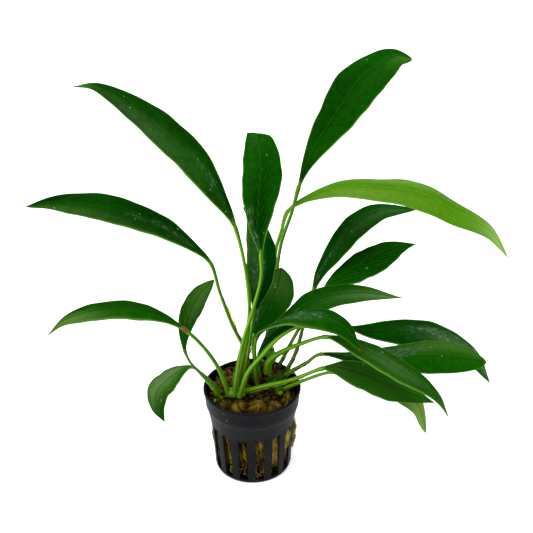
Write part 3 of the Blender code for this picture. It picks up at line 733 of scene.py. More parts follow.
def wool_look():
    """Olive-brown mineral wool: matted fibres, painted highlights on ridges, damp patches and painted shade
    in the hollows, and golden painted light on the right side.
    """
    look = Look("wool plug", 0.9, Specular_IOR_Level=0.02)
    crest, flow, _ = look.stored("crest")
    x, y, z = look.parts(look.places())
    hair = look.noise(1.0, 5, look.joined(flow * 0.9, (x + y) * 110, z * 110), 0.7)
    strand = look.noise(900, 5, roughness=0.7)
    clump = look.noise(210, 4, roughness=0.6)
    tone = hair * 2.0 + strand * 0.5 + clump * 0.6 + crest * 0.6
    # damp: random damp patches, and painted shade in the hollows where the crest is low
    damp = (look.noise(140, 3) + clump * 0.5 - crest * 0.8).rise(0.12, 0.5)
    # dry: golden painted light on the plug's right side, below 30 mm up
    dry = x.rise(0.0, PAINTED_LIGHT_REACH) * (1 - z.rise(30 * MM, 36 * MM))
    colour = look.over(
        look.mix(tone.rise(1.5, 2.15), WOOL_DARK, WOOL_LIGHT),
        (damp * 0.75, tuple(0.3 * c for c in WOOL_DARK)),
        (dry * 0.8, look.mix(hair.rise(0.3, 0.7), *PAINTED_LIGHT_WOOL)),
    )
    look.bump(hair * 1.6 + strand * 0.4 + clump * 0.6, 0.9 * MM)
    return look.set(Base_Color=colour, Roughness=0.9 - damp * 0.2)


def pot_look():
    """Satin black moulded plastic with faint mould grain, scuffs, pale dust and a few specks on the lip."""
    look = Look("black plastic", 0.4, Specular_IOR_Level=0.05)
    x, y, z = look.parts(look.places())
    cloud = look.noise(55, 4)
    scuff = look.noise(1.0, 4, look.joined(x * 900, y * 900, z * 60), 0.6).rise(0.64, 0.76)
    corner = (1 - x.rise(-20 * MM, -6 * MM)) * (1 - y.rise(-20 * MM, -8 * MM)) * z.rise(47 * MM, 49 * MM)
    specks = (0.22 - look.cells(520)).rise(0.0, 0.08) * (look.noise(160, 2) + corner * 0.2).rise(0.64, 0.7)
    colour = look.over(
        look.mix(cloud.rise(0.35, 0.7), (0.003, 0.003, 0.0042), (0.0055, 0.0055, 0.007)),
        (scuff * 0.2, (0.03, 0.03, 0.036)),
        (specks * 0.7, (0.16, 0.16, 0.17)),
    )
    look.bump(look.noise(1500, 3) * 0.5 + specks * 1.5, 0.05 * MM, 0.6)
    return look.set(Base_Color=colour, Roughness=0.4 + cloud * 0.14 + scuff * 0.1)


def plain_fibre_look(name, dark, light, roughness=0.7, shaded=False, lit_side=False):
    """Roots and single fibres in two tones, with painted shade in the wool's hollows when shaded, and golden
    painted light on the pot's right side when lit_side.
    """
    look = Look(name, roughness, Specular_IOR_Level=0.03)
    tone = look.noise(260, 3).rise(0.35, 0.65)
    if shaded:
        crest, _, _ = look.stored("crest")
        tone = tone * crest.rise(0.4, 1.0)
    look.bump(look.noise(1800, 2), 0.05 * MM)
    colour = look.mix(tone, dark, light)
    if lit_side:
        x, _, _ = look.parts(look.places())
        colour = look.mix(x.rise(0.0, PAINTED_LIGHT_REACH) * 0.8, colour, look.mix(tone, *PAINTED_LIGHT_WOOL))
    return look.set(Base_Color=colour)


# Leaves


def blade_outline(shares, widest):
    """The half width along a lance-shaped blade, as a share of the greatest half width."""
    base_taper = BASE_TAPER + TAPER_GAIN * (widest - 0.5)
    tip_taper = base_taper * (1 - widest) / widest
    top = widest**base_taper * (1 - widest) ** tip_taper
    return shares**base_taper * (1 - shares) ** tip_taper / top


def build_blade(number, leaf, look):
    """One blade: two skins over a grid of share along and share across, closed at the margin.

    The skin is the midrib's curve plus side times half width, drooping with the square of the
    share across, creased along the midrib, quilted between veins and waved at the margin.
    """
    rows, columns = BLADE_GRID
    _, curve = leaf_curves(leaf)
    s = np.linspace(0, 1, rows)[:, None]
    centre = even_points(curve, s[:, 0])
    length = np.linalg.norm(np.diff(curve, axis=0), axis=1).sum() / MM
    along = unit(np.gradient(centre, axis=0))
    face = np.array(leaf.face) * (1 - s) + np.array(leaf.face_tip) * s
    up = unit(face - (face * along).sum(axis=1, keepdims=True) * along)
    side = np.cross(along, up)
    end = (0.75 + 0.7 * leaf.young**4) * (1 - s) ** 6 + 0.12
    half = leaf.width / 2 * blade_outline(s, leaf.widest) * 1.02 + end
    step = np.linspace(-1, 1, columns)
    across = step * (1.25 - 0.25 * step**2)
    x = across * half
    hand = np.sign(x)
    phase = np.random.default_rng(number).uniform(0, TAU, 4)
    slant = np.abs(x) * (1.1 + length / 55) + x**2 * 0.08
    vein = (s * length - slant) / (4.5 + 2 * leaf.clear)
    body = np.clip(half / 4, 0, 1)
    middle = np.sin(np.pi * s)
    height = -DROOP * (across**2 - 0.4) * half - CREASE * body * hill(x, 0.9)
    height = height + QUILT * body * np.cos(TAU * vein) * np.clip(np.abs(x) / 3, 0, 1) * (1 - across**4)
    ruffle = np.sin(TAU * (s * 2.6) + phase[0] + phase[1] * hand) + 0.5 * np.sin(TAU * s * 5.3 + phase[2])
    height = height + RUFFLE * body * ruffle * np.abs(across) ** 3 * middle
    wave = np.sin(TAU * s * 3.1 + phase[3] + 2 * hand) + 0.6 * np.sin(TAU * s * 7.3 + phase[1] * hand)
    x = x * (1 + WAVE * wave * middle)
    thick = THICK_MIDDLE * (1 - 0.6 * across**2) + THICK_EDGE
    rib = (RIB * (1 - s) ** 0.8 + 0.1) * body * hill(x, 0.75)
    joint = (1 - s) ** 24 * JOINT
    skins = []
    for lift in (height + thick + joint, height - thick - rib - joint):
        skins.append(centre[:, None] + (side[:, None] * x[..., None] + up[:, None] * lift[..., None]) * MM)
    satin, wet = (
        strength * hill(s - far, SHINE[0], across - aside, SHINE[1])
        for far, aside, strength in (leaf.satin, leaf.wet)
    )
    paler = 0
    for far, aside, reach, spread, amount in PATCHES.get(number, ()):
        paler = paler + amount * hill(s - far, reach, across - aside, spread)
    share = triples(BLADE_GRID, s, across, 0)
    attributes = {"share": np.stack([share, share + (0, 0, 1)])}
    same = {
        "veins": triples(BLADE_GRID, vein, x, satin),
        "kind": triples(BLADE_GRID, leaf.young, wet, leaf.clear),
        "patch": triples(BLADE_GRID, paler, number in PALE_TIPS, RICHER.get(number, 0)),
    }
    attributes.update((key, np.stack([values, values])) for key, values in same.items())
    names = f"blade_{number:02d}", f"leaf_{number:02d}"
    piece(names[0], skins, sheet_faces(rows, columns), look, names[1:], attributes, 75)


def stalk_radii(shares, girth):
    """Thick at the foot, slender above, swollen again at the joint below the blade."""
    foot = STALK_FOOT * girth
    top = STALK_TOP * min(0.5 + girth / 2, 1.05)
    radii = top + (foot - top) * (1 - shares) ** STALK_TAPER
    return radii * (1 + (JOINT_SWELL - 1) * hill(shares - 0.96, 0.05))


def build_stalk(number, leaf, look):
    """One stalk: a swept tube, a little flat and grooved above, that runs on into the blade's base."""
    curve, blade = leaf_curves(leaf)
    rows, sides = 70, 20
    grid = (rows, sides)
    shares = np.linspace(0, 1, rows)
    path = even_points(np.vstack([curve, blade[1:8]]), shares)
    turn = np.arange(sides) * TAU / sides
    groove = 1 - 0.1 * hill(turn - 0.5 * np.pi, 0.45) + 0.03 * np.cos(5 * turn)
    rng = np.random.default_rng(100 + number)
    radii = stalk_radii(shares, leaf.foot) * np.where(shares > 0.985, 0.75, 1.0)
    radii = radii * (1 + 0.03 * np.sin(shares * 23 + rng.uniform(0, TAU)))
    s = shares[:, None]
    edge = hill(turn - 0.5 * np.pi, 0.22) * (s < leaf.sheath * 0.7)
    attributes = {
        "share": triples(grid, s, turn / TAU, edge * 0.5),
        "kind": triples(grid, leaf.young, leaf.brown, rng.uniform(0, 1)),
    }
    points = swept(path, radii, sides, groove)
    names = f"petiole_{number:02d}", f"stalk_{number:02d}"
    piece(names[0], points, tube_faces(rows, sides), look, names[1:], attributes, 60)


def build_ribbons(name, leaf, turns, low, high, breadth, seed, look):
    """Dry skins that stand off a stalk from low to high: flat ribbons with ragged, waving outlines."""
    curve, _ = leaf_curves(leaf)
    rows, sides = 90, 8
    rng = np.random.default_rng(seed)
    shares = np.linspace(low, high, rows)
    path = even_points(curve, shares)
    side, other = across_frames(path)
    radii = stalk_radii(shares, leaf.foot)
    u = np.linspace(0, 1, rows)
    turn = np.arange(sides) * TAU / sides
    points, faces = [], []
    for edge in turns:
        angle = edge * np.pi + 0.08 * np.sin(shares * 19 + edge)
        out = turned(side, other, angle)
        flat = turned(other, -side, angle)
        ragged = 0.8 + 0.25 * np.sin(shares * 61 + edge * 9) + 0.12 * rng.uniform(-1, 1, rows)
        width = breadth * MM * ragged * np.clip(u * 12, 0.1, 1) * np.clip((1 - u) * 3, 0.05, 1)
        bend = 0.35 * MM * np.sin(shares * 47 + edge * 5) * u
        middle = path + out * (radii * 0.96 + width * 0.4)[:, None] + flat * bend[:, None]
        oval = out[:, None] * np.cos(turn)[:, None] * width[:, None, None]
        oval = oval + flat[:, None] * (np.sin(turn) * 0.09 * MM)[:, None]
        faces += tube_faces(rows, sides, len(points) * rows * sides)
        points.append(middle[:, None] + oval)
    piece(name, np.array(points), faces, look)


# Rhizomes


def build_limb(name, ends, look, age, replaced=(), rough=0.05, seed=1, cut_share=0.86, cut=True):
    """A length of creeping stem: knobbly rings round a straight line, rounded at its ends, with scar rings.

    Its far end may be a pale cut face, and age is how scaly and how light it is.
    """
    rows, sides = 44, 40
    first, last, radius_first, radius_last = ends
    shares = np.linspace(0, 1, rows)
    s = shares[:, None]
    path = (np.array(first) + (np.array(last) - np.array(first)) * s) * MM
    girth = np.interp(shares, LIMB_SHARES, [*LIMB_GIRTHS, cut_share])
    radii = (radius_first + (radius_last - radius_first) * shares) * MM * girth
    turn = np.arange(sides) * TAU / sides
    rng = np.random.default_rng(seed)
    lumps = np.ones((rows, sides))
    for wave in range(1, 7):
        a, b, _ = rng.uniform(0, TAU, 3)
        lumps += rough / wave * np.sin(s * wave * 6 + a) * np.sin(turn * wave + b)
    rings = 1 + 0.06 * np.maximum(0, np.sin(s * TAU * 5 + rng.uniform(0, TAU))) ** 4
    centre = path[:, None]
    points = centre + (swept(path, radii, sides) - centre) * (lumps * rings)[:, :, None]
    middle = points[-1].mean(axis=0)
    points = np.concatenate([points, [middle + (points[-1] - middle) * 0.9]])
    share = triples((rows, sides), s, turn / TAU, 0)
    share = np.concatenate([share, share[-1:] + (0, 0, float(cut))])
    attributes = {"share": share, "age": triples(share.shape[:2], *age, 0)}
    piece(name, points, tube_faces(rows + 1, sides), look, replaced, attributes, 55)


def build_scales(look):
    """Torn brown scales round the right rhizome: small curved leaves of paper, laid shingle-wise."""
    rng = np.random.default_rng(7)
    rows, columns = 9, 7
    u, v = np.meshgrid(np.linspace(0, 1, rows), np.linspace(-1, 1, columns), indexing="ij")
    skins, faces = [], []
    for ends, count, low, high in SCALES:
        first, last = np.array(ends[0], float), np.array(ends[1], float)
        axis = unit(last - first)
        side = unit(np.cross(axis, HELPER))
        other = np.cross(axis, side)
        for share, angle in zip(rng.uniform(low, high, count), rng.uniform(0, TAU, count)):
            radius = ends[2] + (ends[3] - ends[2]) * share
            reach, width = rng.uniform(1.6, 4.2), rng.uniform(0.35, 0.8)
            turn = angle + v * width * (1 - 0.75 * u**1.5) + 0.15 * rng.uniform(-1, 1)
            out = radius * 1.02 + u**2 * rng.uniform(0.3, 1.3) + 0.12 * np.sin(v * 5 + angle)
            rise = share * np.linalg.norm(last - first) + u * reach - 0.4 * v**2
            away = turned(side, other, turn)
            skin = first + axis * rise[..., None] + away * out[..., None]
            faces += sheet_faces(rows, columns, len(skins) * 2 * rows * columns, flipped=True)
            skins.append([skin + away * SCALE_HALF, skin - away * SCALE_HALF])
    piece("rhizome_scales", np.array(skins) * MM, faces, look, sharp=80)


# Pot


def pot_stations():
    """Outside and inside points (radius, height) in pairs, from the lip down and in along the floor."""
    outside = [
        (26.55, 53.0), (27.0, 52.95), (27.35, 52.7), (27.5, 52.3), (27.5, 51.4), (27.3, 51.0), (27.0, 50.8),
        (26.8, 48.1), (26.6, 45.4), (26.4, 42.7), (26.28, 42.4), (26.1, 42.1), (25.42, 39.3), (24.82, 36.5),
        (24.5, 34.9), (24.2, 33.3), (23.86, 31.5),
    ]
    inside = [
        (26.35, 53.0), (26.25, 52.9), (26.15, 52.6), (26.05, 52.2), (26.0, 51.6), (25.95, 51.1), (25.9, 50.8),
        (25.6, 48.1), (25.3, 45.3), (25.0, 42.5), (24.95, 42.2), (24.9, 41.9), (24.35, 39.2), (23.8, 36.5),
        (23.5, 34.9), (23.2, 33.3), (22.86, 31.5),
    ]
    for height in np.linspace(31.5, 2.5, 12)[1:]:
        radius = 21.9 + 2.1 * (height - 2.2) / 31.8
        outside.append((radius, height))
        inside.append((radius - POT_WALL, height))
    outside += [(21.8, 1.5), (21.5, 0.8), (21.2, 0.3), (20.8, 0.0)]
    inside += [(20.85, 1.9), (20.75, 1.6), (20.5, 1.35), (20.2, POT_FLOOR)]
    for radius in (18.0, 15.0, 13.0, 11.0, 9.0, 7.0, 4.0, 1.0):
        outside.append((radius, 0.0))
        inside.append((radius, POT_FLOOR))
    return np.array(outside) * MM, np.array(inside) * MM


def pot_turns(outside, turns):
    """The turn of each point of the pot's grid, drawn to the edges of the slots and drains.

    It also gives which steps round the pot lie in a slot, and how many steps each is from a drain's middle.
    """
    step = np.arange(turns)
    wall_step = turns // SLOT_COUNT
    local = (step % wall_step - wall_step / 2) / (wall_step / 2)
    warped = np.interp(local, [-1, -0.5, 0.5, 1], [-1, -SLOT_SHARE, SLOT_SHARE, 1])
    slot_turn = (step // wall_step + 0.5 + warped / 2) * TAU / SLOT_COUNT
    wall_turn = slot_turn - np.pi / SLOT_COUNT + FIRST_SLOT - np.pi / 2
    in_slot = (step % wall_step >= wall_step // 4) & (step % wall_step < wall_step * 3 // 4)
    drain_step = turns // DRAIN_COUNT
    number = np.round((wall_turn[0] + step * TAU / turns) * turns / TAU).astype(int)
    aside = (number + drain_step // 2) % drain_step - drain_step // 2
    turn = np.tile(wall_turn, (len(outside), 1))
    edge = DRAIN_STEPS * TAU / turns
    full = np.pi / DRAIN_COUNT
    for row, (radius, height) in enumerate(outside):
        if radius < DRAIN_END + 1 * MM and height < 1 * MM:
            reach = math.asin(DRAIN_WIDTH / 2 / max(radius, DRAIN_START - 0.1 * MM))
            moved = np.interp(aside * TAU / turns, [-full, -edge, edge, full], [-full, -reach, reach, full])
            turn[row] = (number - aside) * TAU / turns + moved
    return turn, in_slot, aside


def build_pot(look):
    """The net pot: a grid of turn by station with cells left out at the slots, and walls round each gap."""
    outside, inside = pot_stations()
    turns = 180
    stations = len(outside)
    count = stations * turns
    turn, in_slot, aside = pot_turns(outside, turns)
    points = [round_axis(profile[:, :1], turn, profile[:, 1:]) for profile in (outside, inside)]
    in_drain = (aside >= -DRAIN_STEPS) & (aside < DRAIN_STEPS)
    kept = np.ones((stations - 1, turns), bool)
    for row in range(stations - 1):
        (radius, height), (next_radius, next_height) = outside[row], outside[row + 1]
        if height <= SLOT_TOP + SLACK and next_height >= SLOT_BOTTOM - SLACK:
            kept[row] &= ~in_slot
        if radius <= DRAIN_END + SLACK and next_radius >= DRAIN_START - SLACK:
            kept[row] &= ~in_drain

    def corner(row, column):
        """A point's number on the outside; on the inside it is count more."""
        return row * turns + column % turns

    row, column = np.nonzero(kept)
    above = [corner(row, column), corner(row, column + 1)]
    below = [corner(row + 1, column + 1), corner(row + 1, column)]
    outer = np.stack([*above, *below], 1)
    faces = outer[:, ::-1].tolist() + (outer + count).tolist()
    whole = np.ones((1, turns), bool)
    gaps = [
        (np.roll(kept, -1, axis=1), (0, 1), (1, 1), False),
        (np.roll(kept, 1, axis=1), (0, 0), (1, 0), True),
        (np.vstack([kept[1:], whole]), (1, 0), (1, 1), True),
        (np.vstack([whole, kept[:-1]]), (0, 0), (0, 1), False),
    ]
    for neighbour, start, end, flip in gaps:
        row, column = np.nonzero(kept & ~neighbour)
        first = corner(row + start[0], column + start[1])
        last = corner(row + end[0], column + end[1])
        wall = np.stack([first, last, last + count, first + count], 1)
        faces += (wall if flip else wall[:, ::-1]).tolist()
    step = np.arange(turns)
    beside = corner(0, step + 1)
    faces += np.stack([step, beside, beside + count, step + count], 1).tolist()
    last = (stations - 1) * turns + step
    faces += [last[::-1].tolist(), (last + count).tolist()]
    pot = piece("pot_wall", points, faces, look, ("net_pot",), None, 32)
    round_off = pot.modifiers.new("soft edges", "BEVEL")
    round_off.width = SOFT_EDGE
    round_off.segments = 2
    round_off.limit_method = "ANGLE"
    round_off.angle_limit = math.radians(50)


# Wool


def wool_flow(u, v):
    """A field, in millimetres, whose level lines the wool's layers follow: rings round the front lumps."""
    left = 1.1 * np.hypot(u + 7, 1.1 * (v + 15))
    middle = 1.1 * np.hypot(u - 3.5, 1.2 * (v + 18.5))
    right = np.hypot(u + 4, v + 2)
    rest = 0.7 * u + 0.6 * v + 2 * np.sin(u * 0.3)
    near_left = hill(u + 7, 4.5, v + 15, 5)
    near_middle = hill(u - 3.5, 6, v + 15, 7)
    near_right = 0.8 * slope(u - 9, 2)
    total = near_left + near_middle + near_right + 0.15
    flow = (near_left * left + near_middle * middle + near_right * right + 0.15 * rest) / total
    return flow + 0.5 * np.sin(u * 0.9 + 1.1 * np.sin(v * 0.7)) + 0.35 * np.sin(v * 1.3 + u * 0.3)


def wool_top(x, y):
    """The height of the wool's top, and how far each place is up on its ridge, from 0 to 1.

    The height is the sum of broad hills, raised by rounded lumps at the front and right, with layers
    that stand as blunt ridges along the flow's level lines and finer ridges between them.
    """
    u, v = x / MM, y / MM
    broad = sum(high * hill(u - left, wide, v - near, deep) for left, near, wide, deep, high in WOOL_HILLS)
    lump = np.zeros_like(u)
    for left, near, wide, deep, high in WOOL_LUMPS:
        apart = ((u - left) / wide) ** 2 + ((v - near) / deep) ** 2
        lump = np.maximum(lump, high * np.exp(-(apart**1.5)))
    flow = wool_flow(u, v)
    ridge = np.abs(np.sin(flow * np.pi / 2.6)) ** 0.6
    fine = np.abs(np.sin(flow * np.pi / 0.9 + 0.6 * np.sin(u * 2.1 + v)))
    patch = 0.5 + 0.5 * np.sin(u * 0.7 + 1.3) * np.sin(v * 0.6 + 0.4)
    bent = u + 1.4 * np.sin(v * 0.45 + 0.5 * np.sin(u * 0.9))
    clump = np.sin(bent * 0.62 + 0.9 * np.sin(v * 0.8)) * np.sin(v * 0.7 + 1.1 * np.sin(bent * 0.37 + 1))
    behind = slope(v + 7, 1.5)
    clump = np.abs(clump) ** 0.8 * behind
    ridge = ridge * (1 - 0.6 * behind)
    # crest: how far up its ridge each place is, which the looks turn into painted light on ridges and painted
    # shade in hollows
    crest = 0.5 * ridge * (0.6 + 0.4 * patch) + 0.15 * fine + 0.4 * np.clip(lump / 2, 0, 1)
    crest = np.clip(crest + 0.65 * clump, 0, 1)
    edge = 1 - np.clip(np.hypot(x, y) / WOOL_REACH, 0, 1) ** 14
    folds = 1.25 * lump + 1.7 * ridge * (0.5 + 0.5 * patch) + 0.3 * fine + 1.9 * clump - 1.7
    return WOOL_TOP + (broad + folds * edge) * MM, crest


def build_wool(look):
    """The wool plug: rings over the lumpy top and down the side, swelling a little into the slots.

    Near the pot's foot the side draws back behind the slots, lower or higher round the turn.
    """
    turns, top_rings, side_rings = 360, 80, 64
    turn = np.arange(turns) * TAU / turns
    reach = WOOL_REACH * np.linspace(0.01, 1, top_rings)[:, None]
    x, y = reach * np.cos(turn), reach * np.sin(turn)
    top, crest = wool_top(x, y)
    height = np.linspace(46, 1.5, side_rings)[:, None]
    past_slot = turn - FIRST_SLOT + np.pi / 2
    number = np.round(past_slot * SLOT_COUNT / TAU) % SLOT_COUNT
    push = 0.5 + 2.2 * (number == GOLDEN_SLOT) * np.interp(height, [9, 14, 27, 31], [0, 1, 0.8, 0.2])
    in_slot = np.clip(np.cos(SLOT_COUNT * past_slot) * 1.3 - 0.3, 0, 1) ** 0.5
    swell = push * in_slot * np.interp(height, [3, 8, 28, 31], [0, 1, 1, 0])
    streak = np.sin(turn * 97 + 2 * np.sin(height * 0.8)) * 0.5 + np.sin(turn * 41 + height * 0.25)
    lumps = np.sin(height * 0.9 + turn * 17) * np.sin(turn * 23 + height * 0.5)
    end = 11 + 1.8 * np.sin(turn * 4 + 1) + 1.6 * np.sin(turn * 9 + 0.5)
    back = 4.5 * slope(end - height, 0.625)
    reach = np.interp(height, *WOOL_SIDE) - 0.9 + swell + 0.2 * streak + 0.35 * lumps - back
    points = np.concatenate([np.stack([x, y, top], axis=-1), round_axis(reach, turn, height) * MM])
    # ridge: lighter on the side's streaks and lumps, with painted shade where the side draws back near the
    # foot
    ridge = np.clip(0.55 + 0.25 * streak + 0.25 * lumps - 0.4 * back, 0, 1)
    grid = (top_rings + side_rings, turns)
    flow = np.concatenate([wool_flow(x / MM, y / MM), turn * 18 + 0 * reach])
    attributes = {"crest": triples(grid, np.concatenate([crest, ridge]), flow, 0)}
    piece("wool_plug", points, tube_faces(*grid), look, ("rock_wool",), attributes, 70)


def build_wool_fibres(look):
    """Loose fibres lying on the wool's top: short bent strands that follow its layers."""
    rng = np.random.default_rng(11)
    each, steps = (5200, 1), 7
    reach = FIBRE_REACH * np.sqrt(rng.uniform(0, 1, each))
    angle = rng.uniform(0, TAU, each)
    x, y = reach * np.cos(angle), reach * np.sin(angle)
    u, v = x / MM, y / MM
    rise_x = wool_flow(u + 0.3, v) - wool_flow(u - 0.3, v)
    rise_y = wool_flow(u, v + 0.3) - wool_flow(u, v - 0.3)
    heading = np.arctan2(rise_y, rise_x) + np.pi / 2 + rng.normal(0, 0.3, each)
    s = np.linspace(-0.5, 0.5, steps)
    direction = heading + rng.normal(0, 0.3, each) * s * 2
    stride = rng.uniform(1.2, 4.2, each) * MM / steps
    x = x + np.cumsum(np.cos(direction), axis=1) * stride
    y = y + np.cumsum(np.sin(direction), axis=1) * stride
    far = np.maximum(np.hypot(x, y) / WOOL_REACH, 1)
    x, y = x / far, y / far
    lift = rng.uniform(-0.02, 0.3, each) * (1 - 4 * s**2) + rng.uniform(-0.12, 0.1, each)
    top, crest = wool_top(x, y)
    paths = np.stack([x, y, top + lift * MM], axis=-1)
    radii = rng.uniform(0.03, 0.09, each) * (1.1 - 1.6 * s**2) * MM
    crest = np.broadcast_to(crest[:, :, None, None], (*crest.shape, 3, 3))
    build_strands("wool_fibres", paths, radii, look, attributes={"crest": crest})


def build_pale_fibres(look):
    """Tufts of dry pale strands that stand up from the wool at the right, the front and the back left."""
    rng = np.random.default_rng(15)
    u = np.linspace(0, 1, 6)
    paths, radii = [], []
    for left, near, wide, deep, count in PALE_TUFTS:
        each = (count, 1)
        x = rng.normal(left, wide, each) + rng.normal(0, 0.7, each) * u
        y = rng.normal(near, deep, each) + rng.normal(0, 1.1, each) * u
        far = np.maximum(np.hypot(x, y) / 22.5, 1)
        x, y = x / far * MM, y / far * MM
        top, _ = wool_top(x, y)
        lift = (rng.uniform(0.2, 1.1, each) * np.sin(u * 2.6) - 0.1) * MM
        paths.append(np.stack([x, y, top + lift], axis=-1))
        radii.append(rng.uniform(0.06, 0.14, each) * (1.1 - 0.7 * u) * MM)
    build_strands("pale_fibres", np.concatenate(paths), np.concatenate(radii), look)


def build_wall_fibres(look):
    """Fibres of the wool seen in the slots: strands that run down the plug's side with a slight wander."""
    rng = np.random.default_rng(12)
    each = (2600, 1)
    slot = rng.integers(0, SLOT_COUNT, each)
    angle = FIRST_SLOT - np.pi / 2 + slot * TAU / SLOT_COUNT + rng.uniform(-0.12, 0.12, each)
    height = rng.uniform(11, 31, each)
    u = np.linspace(-0.5, 0.5, 7)
    span = rng.uniform(1.5, 6, each)
    turn = angle + rng.normal(0, 0.02, each) * u * 2 + rng.normal(0, 0.015, each) * u**2
    z = np.clip(height + span * u, 9, 32)
    reach = np.interp(z, *WOOL_SIDE) - 0.25 + rng.uniform(-0.4, 0.25, each)
    radii = rng.uniform(0.04, 0.11, each) * (1.1 - 1.6 * u**2) * MM
    build_strands("slot_fibres", round_axis(reach, turn, z) * MM, radii, look)


def build_fringe(look):
    """Tufts of wool that push out through the slots at the pot's right side, and a small one at the left."""
    rng = np.random.default_rng(13)
    paths, radii = [], []
    u = np.linspace(0, 1, 7)
    half = 0.8 * np.pi / SLOT_COUNT * SLOT_SHARE
    for slot, low, high, count, reach in SLOT_TUFTS:
        each = (count, 1)
        angle = FIRST_SLOT - np.pi / 2 + slot * TAU / SLOT_COUNT + rng.uniform(-half, half, each)
        height = rng.uniform(low, high - 1, each)
        out = rng.uniform(0.3, 1, each) * reach * (0.65 + 0.35 * np.sin(height * 0.9 + slot))
        wall = 22.1 + 2.1 * (height - 2.2) / 31.8
        radius = wall - 1.3 + (out + 1.2) * np.sin(u * np.pi * 0.8) ** 0.7
        turn = angle + rng.normal(0, 0.05, each) * u
        z = np.clip(height + rng.normal(0, 2.2, each) * (u - 0.4), low - 3, 31.3)
        paths.append(round_axis(radius, turn, z) * MM)
        radii.append(rng.uniform(0.05, 0.13, each) * (1.1 - 0.7 * u) * MM)
    build_strands("wool_fringe", np.concatenate(paths), np.concatenate(radii), look)


def build_roots(look):
    """Thin tan roots behind the lower ends of the slots, round the plug's foot."""
    rng = np.random.default_rng(14)
    each = (110, 1)
    u = np.linspace(0, 1, 16)
    angle = rng.uniform(0, TAU, each) + rng.normal(0, 0.12, each) * u
    angle = angle + 0.015 * np.sin(u * rng.uniform(5, 14, each))
    start = rng.uniform(4, 15, each)
    z = start + (rng.uniform(1.8, 5, each) - start) * u + 0.5 * np.sin(u * 9 + angle * 7)
    z = np.maximum(z, 1.9)
    reach = np.interp(z, [0, 2.2, 34], [20.5, 20.8, 22.8]) - rng.uniform(0.3, 2.2, each)
    radii = rng.uniform(0.12, 0.3, each) * (1 - 0.5 * u) * MM
    build_strands("roots", round_axis(reach, angle, z) * MM, radii, look, sides=6, sharp=60)


def build_whisker(look):
    """A pale root that points out level from the rhizome's stump, and a curl of old leaf beside it."""
    u = np.linspace(0, 1, 24)
    turn = u * 4.6 + 0.5
    wave = np.sin(u * 7)
    root = [17.4 + 6.8 * u + 0.1 * wave, 10 + 0.1 * wave, 65.4 - 0.5 * u + 0.25 * wave]
    curl = [0.5 + 1.3 * np.cos(turn), 5 + 0.5 * u, 72.2 + 1.5 * np.sin(turn) + u]
    paths = np.array([root, curl]).transpose(0, 2, 1) * MM
    radii = np.array([0.28 - 0.15 * u, 0.5 * np.sin(0.2 + u * 2.6)]) * MM
    build_strands("pale_root", paths, radii, look, 8, 60)


# Studio


def build_studio():
    """The camera of the photograph, a wide pale floor, and soft lights round the plant."""
    forward = np.array([0, math.cos(CAMERA_PITCH), -math.sin(CAMERA_PITCH)])
    level = np.array([1.0, 0, 0])
    rise = np.array([0, math.sin(CAMERA_PITCH), math.cos(CAMERA_PITCH)])
    right = level * math.cos(CAMERA_ROLL) + rise * math.sin(CAMERA_ROLL)
    up = -level * math.sin(CAMERA_ROLL) + rise * math.cos(CAMERA_ROLL)
    camera = added("camera", bpy.data.cameras.new("camera"))
    turn = Matrix([[right[k], up[k], -forward[k]] for k in range(3)]).to_4x4()
    camera.matrix_world = Matrix.Translation([c * MM for c in CAMERA_PLACE]) @ turn
    camera.data.sensor_width = SENSOR
    camera.data.lens = SENSOR * FOCAL_PIXELS / IMAGE_SIDE
    camera.data.clip_start = 0.01
    camera.data.clip_end = 50
    bpy.context.scene.camera = camera

    look = Look("studio floor", 0.8, Emission_Strength=FLOOR_GLOW, Emission_Color=(1.0, 1.0, 1.0, 1.0))
    look.set(Base_Color=look.mix(look.noise(3, 2), (0.93, 0.93, 0.93), (0.95, 0.95, 0.95)))
    mesh = bpy.data.meshes.new("studio_floor")
    corners = [(-1, -1), (1, -1), (1, 1), (-1, 1)]
    mesh.from_pydata([(x * FLOOR_REACH, y * FLOOR_REACH, 0) for x, y in corners], [], [(0, 1, 2, 3)])
    mesh.materials.append(look.material)
    added("studio_floor", mesh)

    for name, place, target, size, watts in LIGHTS:
        light = bpy.data.lights.new(name, "AREA")
        light.size = size
        light.energy = watts
        turn = (Vector(place) - Vector(target)).to_track_quat("Z", "Y").to_matrix().to_4x4()
        added(name, light).matrix_world = Matrix.Translation(place) @ turn

    world = bpy.data.worlds.new("studio")
    world.use_nodes = True
    sky = world.node_tree.nodes["Background"]
    sky.inputs["Color"].default_value = (1.0, 1.0, 1.0, 1.0)
    sky.inputs["Strength"].default_value = SKY_STRENGTH
    bpy.context.scene.world = world
    bpy.context.scene.view_settings.view_transform = "Standard"


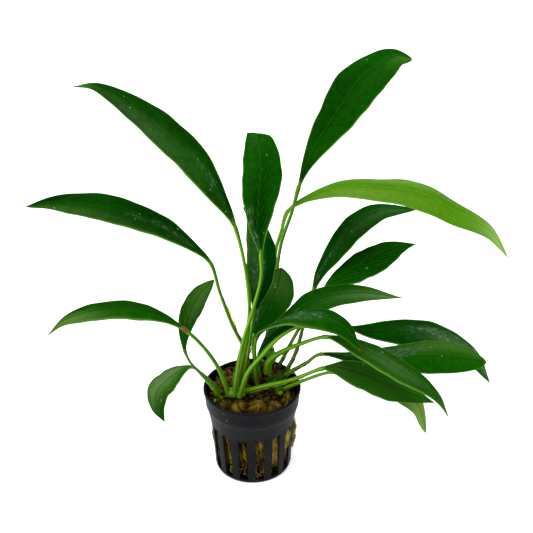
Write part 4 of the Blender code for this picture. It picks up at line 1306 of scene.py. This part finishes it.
def main():
    """Dress every part of the frame."""
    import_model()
    build_studio()
    blade = leaf_look()
    stem = stalk_look()
    sheath = sheath_look()
    rhizome = rhizome_look()
    for number, leaf in LEAVES.items():
        build_blade(number, leaf, blade)
        build_stalk(number, leaf, stem)
        if leaf.sheath > 0:
            name = f"sheath_{number:02d}"
            high, breadth = max(leaf.sheath, 0.2), 0.2 + 0.2 * leaf.sheath
            build_ribbons(name, leaf, (0.22, 0.78), 0.04, high, breadth, 200 + number, sheath)
    membrane = plain_fibre_look("dry membrane", (0.3, 0.16, 0.04), (0.75, 0.62, 0.3))
    build_ribbons("membrane", LEAVES[2], (1.0,), 0.42, 0.72, 0.8, 260, membrane)
    build_limb("knot", RHIZOME_LEFT, rhizome, (0.1, 0.9), ("rhizome_left",), 0.06, 3, 0.5, False)
    build_limb("creeping_stem", RHIZOME_RIGHT, rhizome, (0.55, 0.15), ("rhizome_right",), 0.08, 4, 0.6, False)
    # The stump's full lightness also stands in for light falling on it: painted light
    build_limb("stump", STUMP, rhizome, (0.12, 1.0), (), 0.05, 5, 0.75)
    build_limb("knob", KNOB, rhizome, (0.2, 0.15), (), 0.05, 6, 0.62)
    build_limb("cut_end", CUT_STALK, rhizome, (0.1, 0.0), ("cut_stalk",), 0.02, 8)
    build_limb("old_end", OLD_STALK, sheath, (0.5, 0.5), ("old_stalk",), 0.06, 9, 0.6, False)
    build_scales(scale_look())
    build_pot(pot_look())
    build_wool(wool_look())
    build_wool_fibres(plain_fibre_look("wool fibre", (0.007, 0.0045, 0.0002), (0.12, 0.075, 0.01), 0.7, True))
    # The slot fibres get golden painted light on the pot's right side
    damp = plain_fibre_look("damp fibre", (0.008, 0.005, 0.0003), (0.085, 0.055, 0.006), lit_side=True)
    build_wall_fibres(damp)
    build_pale_fibres(plain_fibre_look("pale fibre", (0.1, 0.07, 0.015), (0.33, 0.25, 0.09)))
    # The fringe's colours are lighter than the wool's: painted light on the tufts outside the pot
    build_fringe(plain_fibre_look("fringe fibre", (0.14, 0.1, 0.015), (0.42, 0.33, 0.08)))
    build_roots(plain_fibre_look("tan root", (0.07, 0.03, 0.004), (0.4, 0.25, 0.05), 0.5))
    build_whisker(plain_fibre_look("pale root", (0.17, 0.17, 0.03), (0.36, 0.34, 0.12), 0.5))


main()
